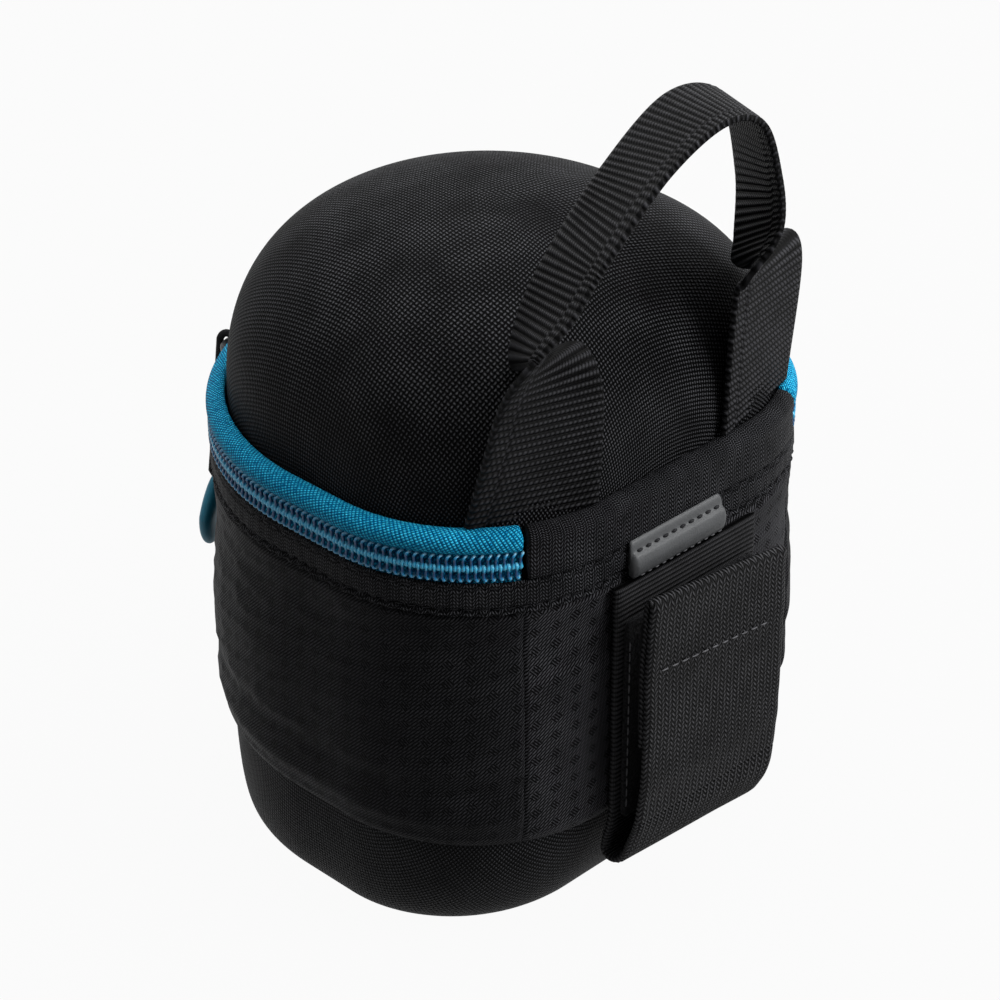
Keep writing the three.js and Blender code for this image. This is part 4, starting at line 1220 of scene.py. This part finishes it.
cord_radius = 0.75 * mm
cord_length = 71 * mm
bar_out = 4.6 * mm
pull_lean = math.radians(8)
grip_top = -31.5 * mm
grip_length = 17 * mm
grip_half = 4.5 * mm
grip_thin = 2 * mm
grip_taper = 0.42
grip_widest = 0.45
grip_dish = 0.35
cord_line = [Vector((out, 0, up)) * mm for out, up in [
    (3.5, -32.5), (3.3, -22), (2.95, -9), (2.73, -1.4), (2.75, 0.4), (3.5, 1.6), (4.6, 1.95),
    (5.7, 1.6), (6.45, 0.4), (6.47, -1.4), (6.25, -9), (5.9, -22), (5.7, -32.5),
]]


def hung(turn, out, along, up):
    """A spot on a pull, which hangs a little outwards from the slider's bar."""
    away = bar_out + (out - bar_out) * math.cos(pull_lean) - up * math.sin(pull_lean)
    drop = up * math.cos(pull_lean) + (out - bar_out) * math.sin(pull_lean)
    return at_slider(turn, away, along, drop)


def make_cord_loop(name, turn):
    """The cord's loop as a tube along its line."""
    def place(across, up):
        angle = across * 2 * math.pi
        spot = rod_spot(cord_line, up, Vector((0, 1, 0)), math.cos(angle) * cord_radius,
                        math.sin(angle) * cord_radius, reach=0.01)
        return hung(turn, *spot)

    return lay_out(name, 12, 90, place,
                   lambda across, up: (across * cord_radius * 6.28, up * cord_length))


def make_grip(name, turn):
    """The grip: an oval skin, dished on both sides, that narrows towards the cord."""
    def place(across, up):
        angle = across * 2 * math.pi
        rise = max(math.sin(math.pi * up), 0) ** 0.5
        taper = 1 - grip_taper * max(0, up - grip_widest) / (1 - grip_widest)
        wide = grip_half * rise * taper * math.cos(angle)
        dish = math.exp(-(math.cos(angle) / 0.55) ** 2) * math.exp(-((up - 0.42) / 0.24) ** 2)
        thick = grip_thin * rise ** 0.7 * (0.8 + 0.2 * taper) * math.sin(angle)
        height = grip_top - grip_length * (1 - up)
        return hung(turn, bar_out + thick * (1 - grip_dish * dish), wide, height)

    return lay_out(name, 48, 40, place)


for label, turn in (("right", slider_turns[0]), ("left", slider_turns[1])):
    cord = make_cord_loop("pull_cord_" + label + "_loop", turn)
    wear(cord_weave, "webbing", "pull_" + label, cord, "pull_cord_" + label)
    grip = make_grip("pull_grip_" + label + "_moulded", turn)
    wear(rubber, "rubber", "pull_" + label, grip, "pull_grip_" + label)

# Floor: a plain pale sheet that keeps the pouch's shadow and reads as white all round it.
floor_white_share = 0.95
floor_finish = new_finish("Pale floor", 0.9, specular=0.1)
floor_tree = floor_finish.node_tree
floor_shader = floor_tree.nodes["Principled BSDF"]
floor_shader.inputs["Base Color"].default_value = (0.2, 0.2, 0.2, 1)


def seen_white(tree):
    """One where the camera, or gloss or glass on the object, looks at a surface."""
    sight = step(tree, "ShaderNodeLightPath").node
    shine = maths("MAXIMUM", sight.outputs["Is Glossy Ray"], sight.outputs["Is Transmission Ray"])
    return maths("MAXIMUM", sight.outputs["Is Camera Ray"], shine)


floor_white = step(floor_tree, "ShaderNodeEmission", (1, 1, 1, 1), 1.0)
floor_mix = step(floor_tree, "ShaderNodeMixShader",
                 maths("MULTIPLY", seen_white(floor_tree), floor_white_share),
                 floor_shader.outputs[0], floor_white)
floor_tree.links.new(floor_mix, floor_tree.nodes["Material Output"].inputs["Surface"])
bpy.ops.object.select_all(action="DESELECT")
bpy.ops.mesh.primitive_plane_add(size=12)
floor = bpy.context.object
floor.name = "floor"
floor.data.materials.append(floor_finish)

# Light: a wide soft lamp overhead, one to each side, and a dim room that the camera and gloss see
# as white.
room_level = 0.05
room = bpy.data.worlds.new("Room")
bpy.context.scene.world = room
room.use_nodes = True
room_tree = room.node_tree
room_light = room_tree.nodes["Background"]
room_light.inputs["Color"].default_value = (1, 1, 1, 1)
room_tree.links.new(maths("MULTIPLY_ADD", seen_white(room_tree), 1 - room_level, room_level),
                    room_light.inputs["Strength"])

aim = Vector((0, 0, 0.06))
for name, place, size, power in (("top_lamp", (-0.35, 0.0, 1.1), 1.2, 18),
                                 ("right_lamp", (-0.5, 1.0, 0.75), 0.7, 15),
                                 ("left_lamp", (0.75, -0.75, 0.9), 0.6, 2.5)):
    bpy.ops.object.light_add(type="AREA", location=place)
    lamp = bpy.context.object
    lamp.name = name
    lamp.data.energy = power
    lamp.data.size = size
    lamp.rotation_euler = (aim - Vector(place)).to_track_quat("-Z", "Y").to_euler()

# Camera: where the photograph was taken from, above the back corner.
bpy.ops.object.camera_add()
camera = bpy.context.object
camera.data.lens = 114.985
camera.data.sensor_width = 36
camera.data.clip_start = 0.01
camera.matrix_world = Matrix((
    (-0.69998563, -0.36547791, 0.61355197, 0.37640),
    (0.71415693, -0.35822559, 0.60137701, 0.37084),
    (0.0, 0.85912765, 0.51176135, 0.38225),
    (0, 0, 0, 1),
))
bpy.context.scene.camera = camera
bpy.context.scene.view_settings.view_transform = "Standard"
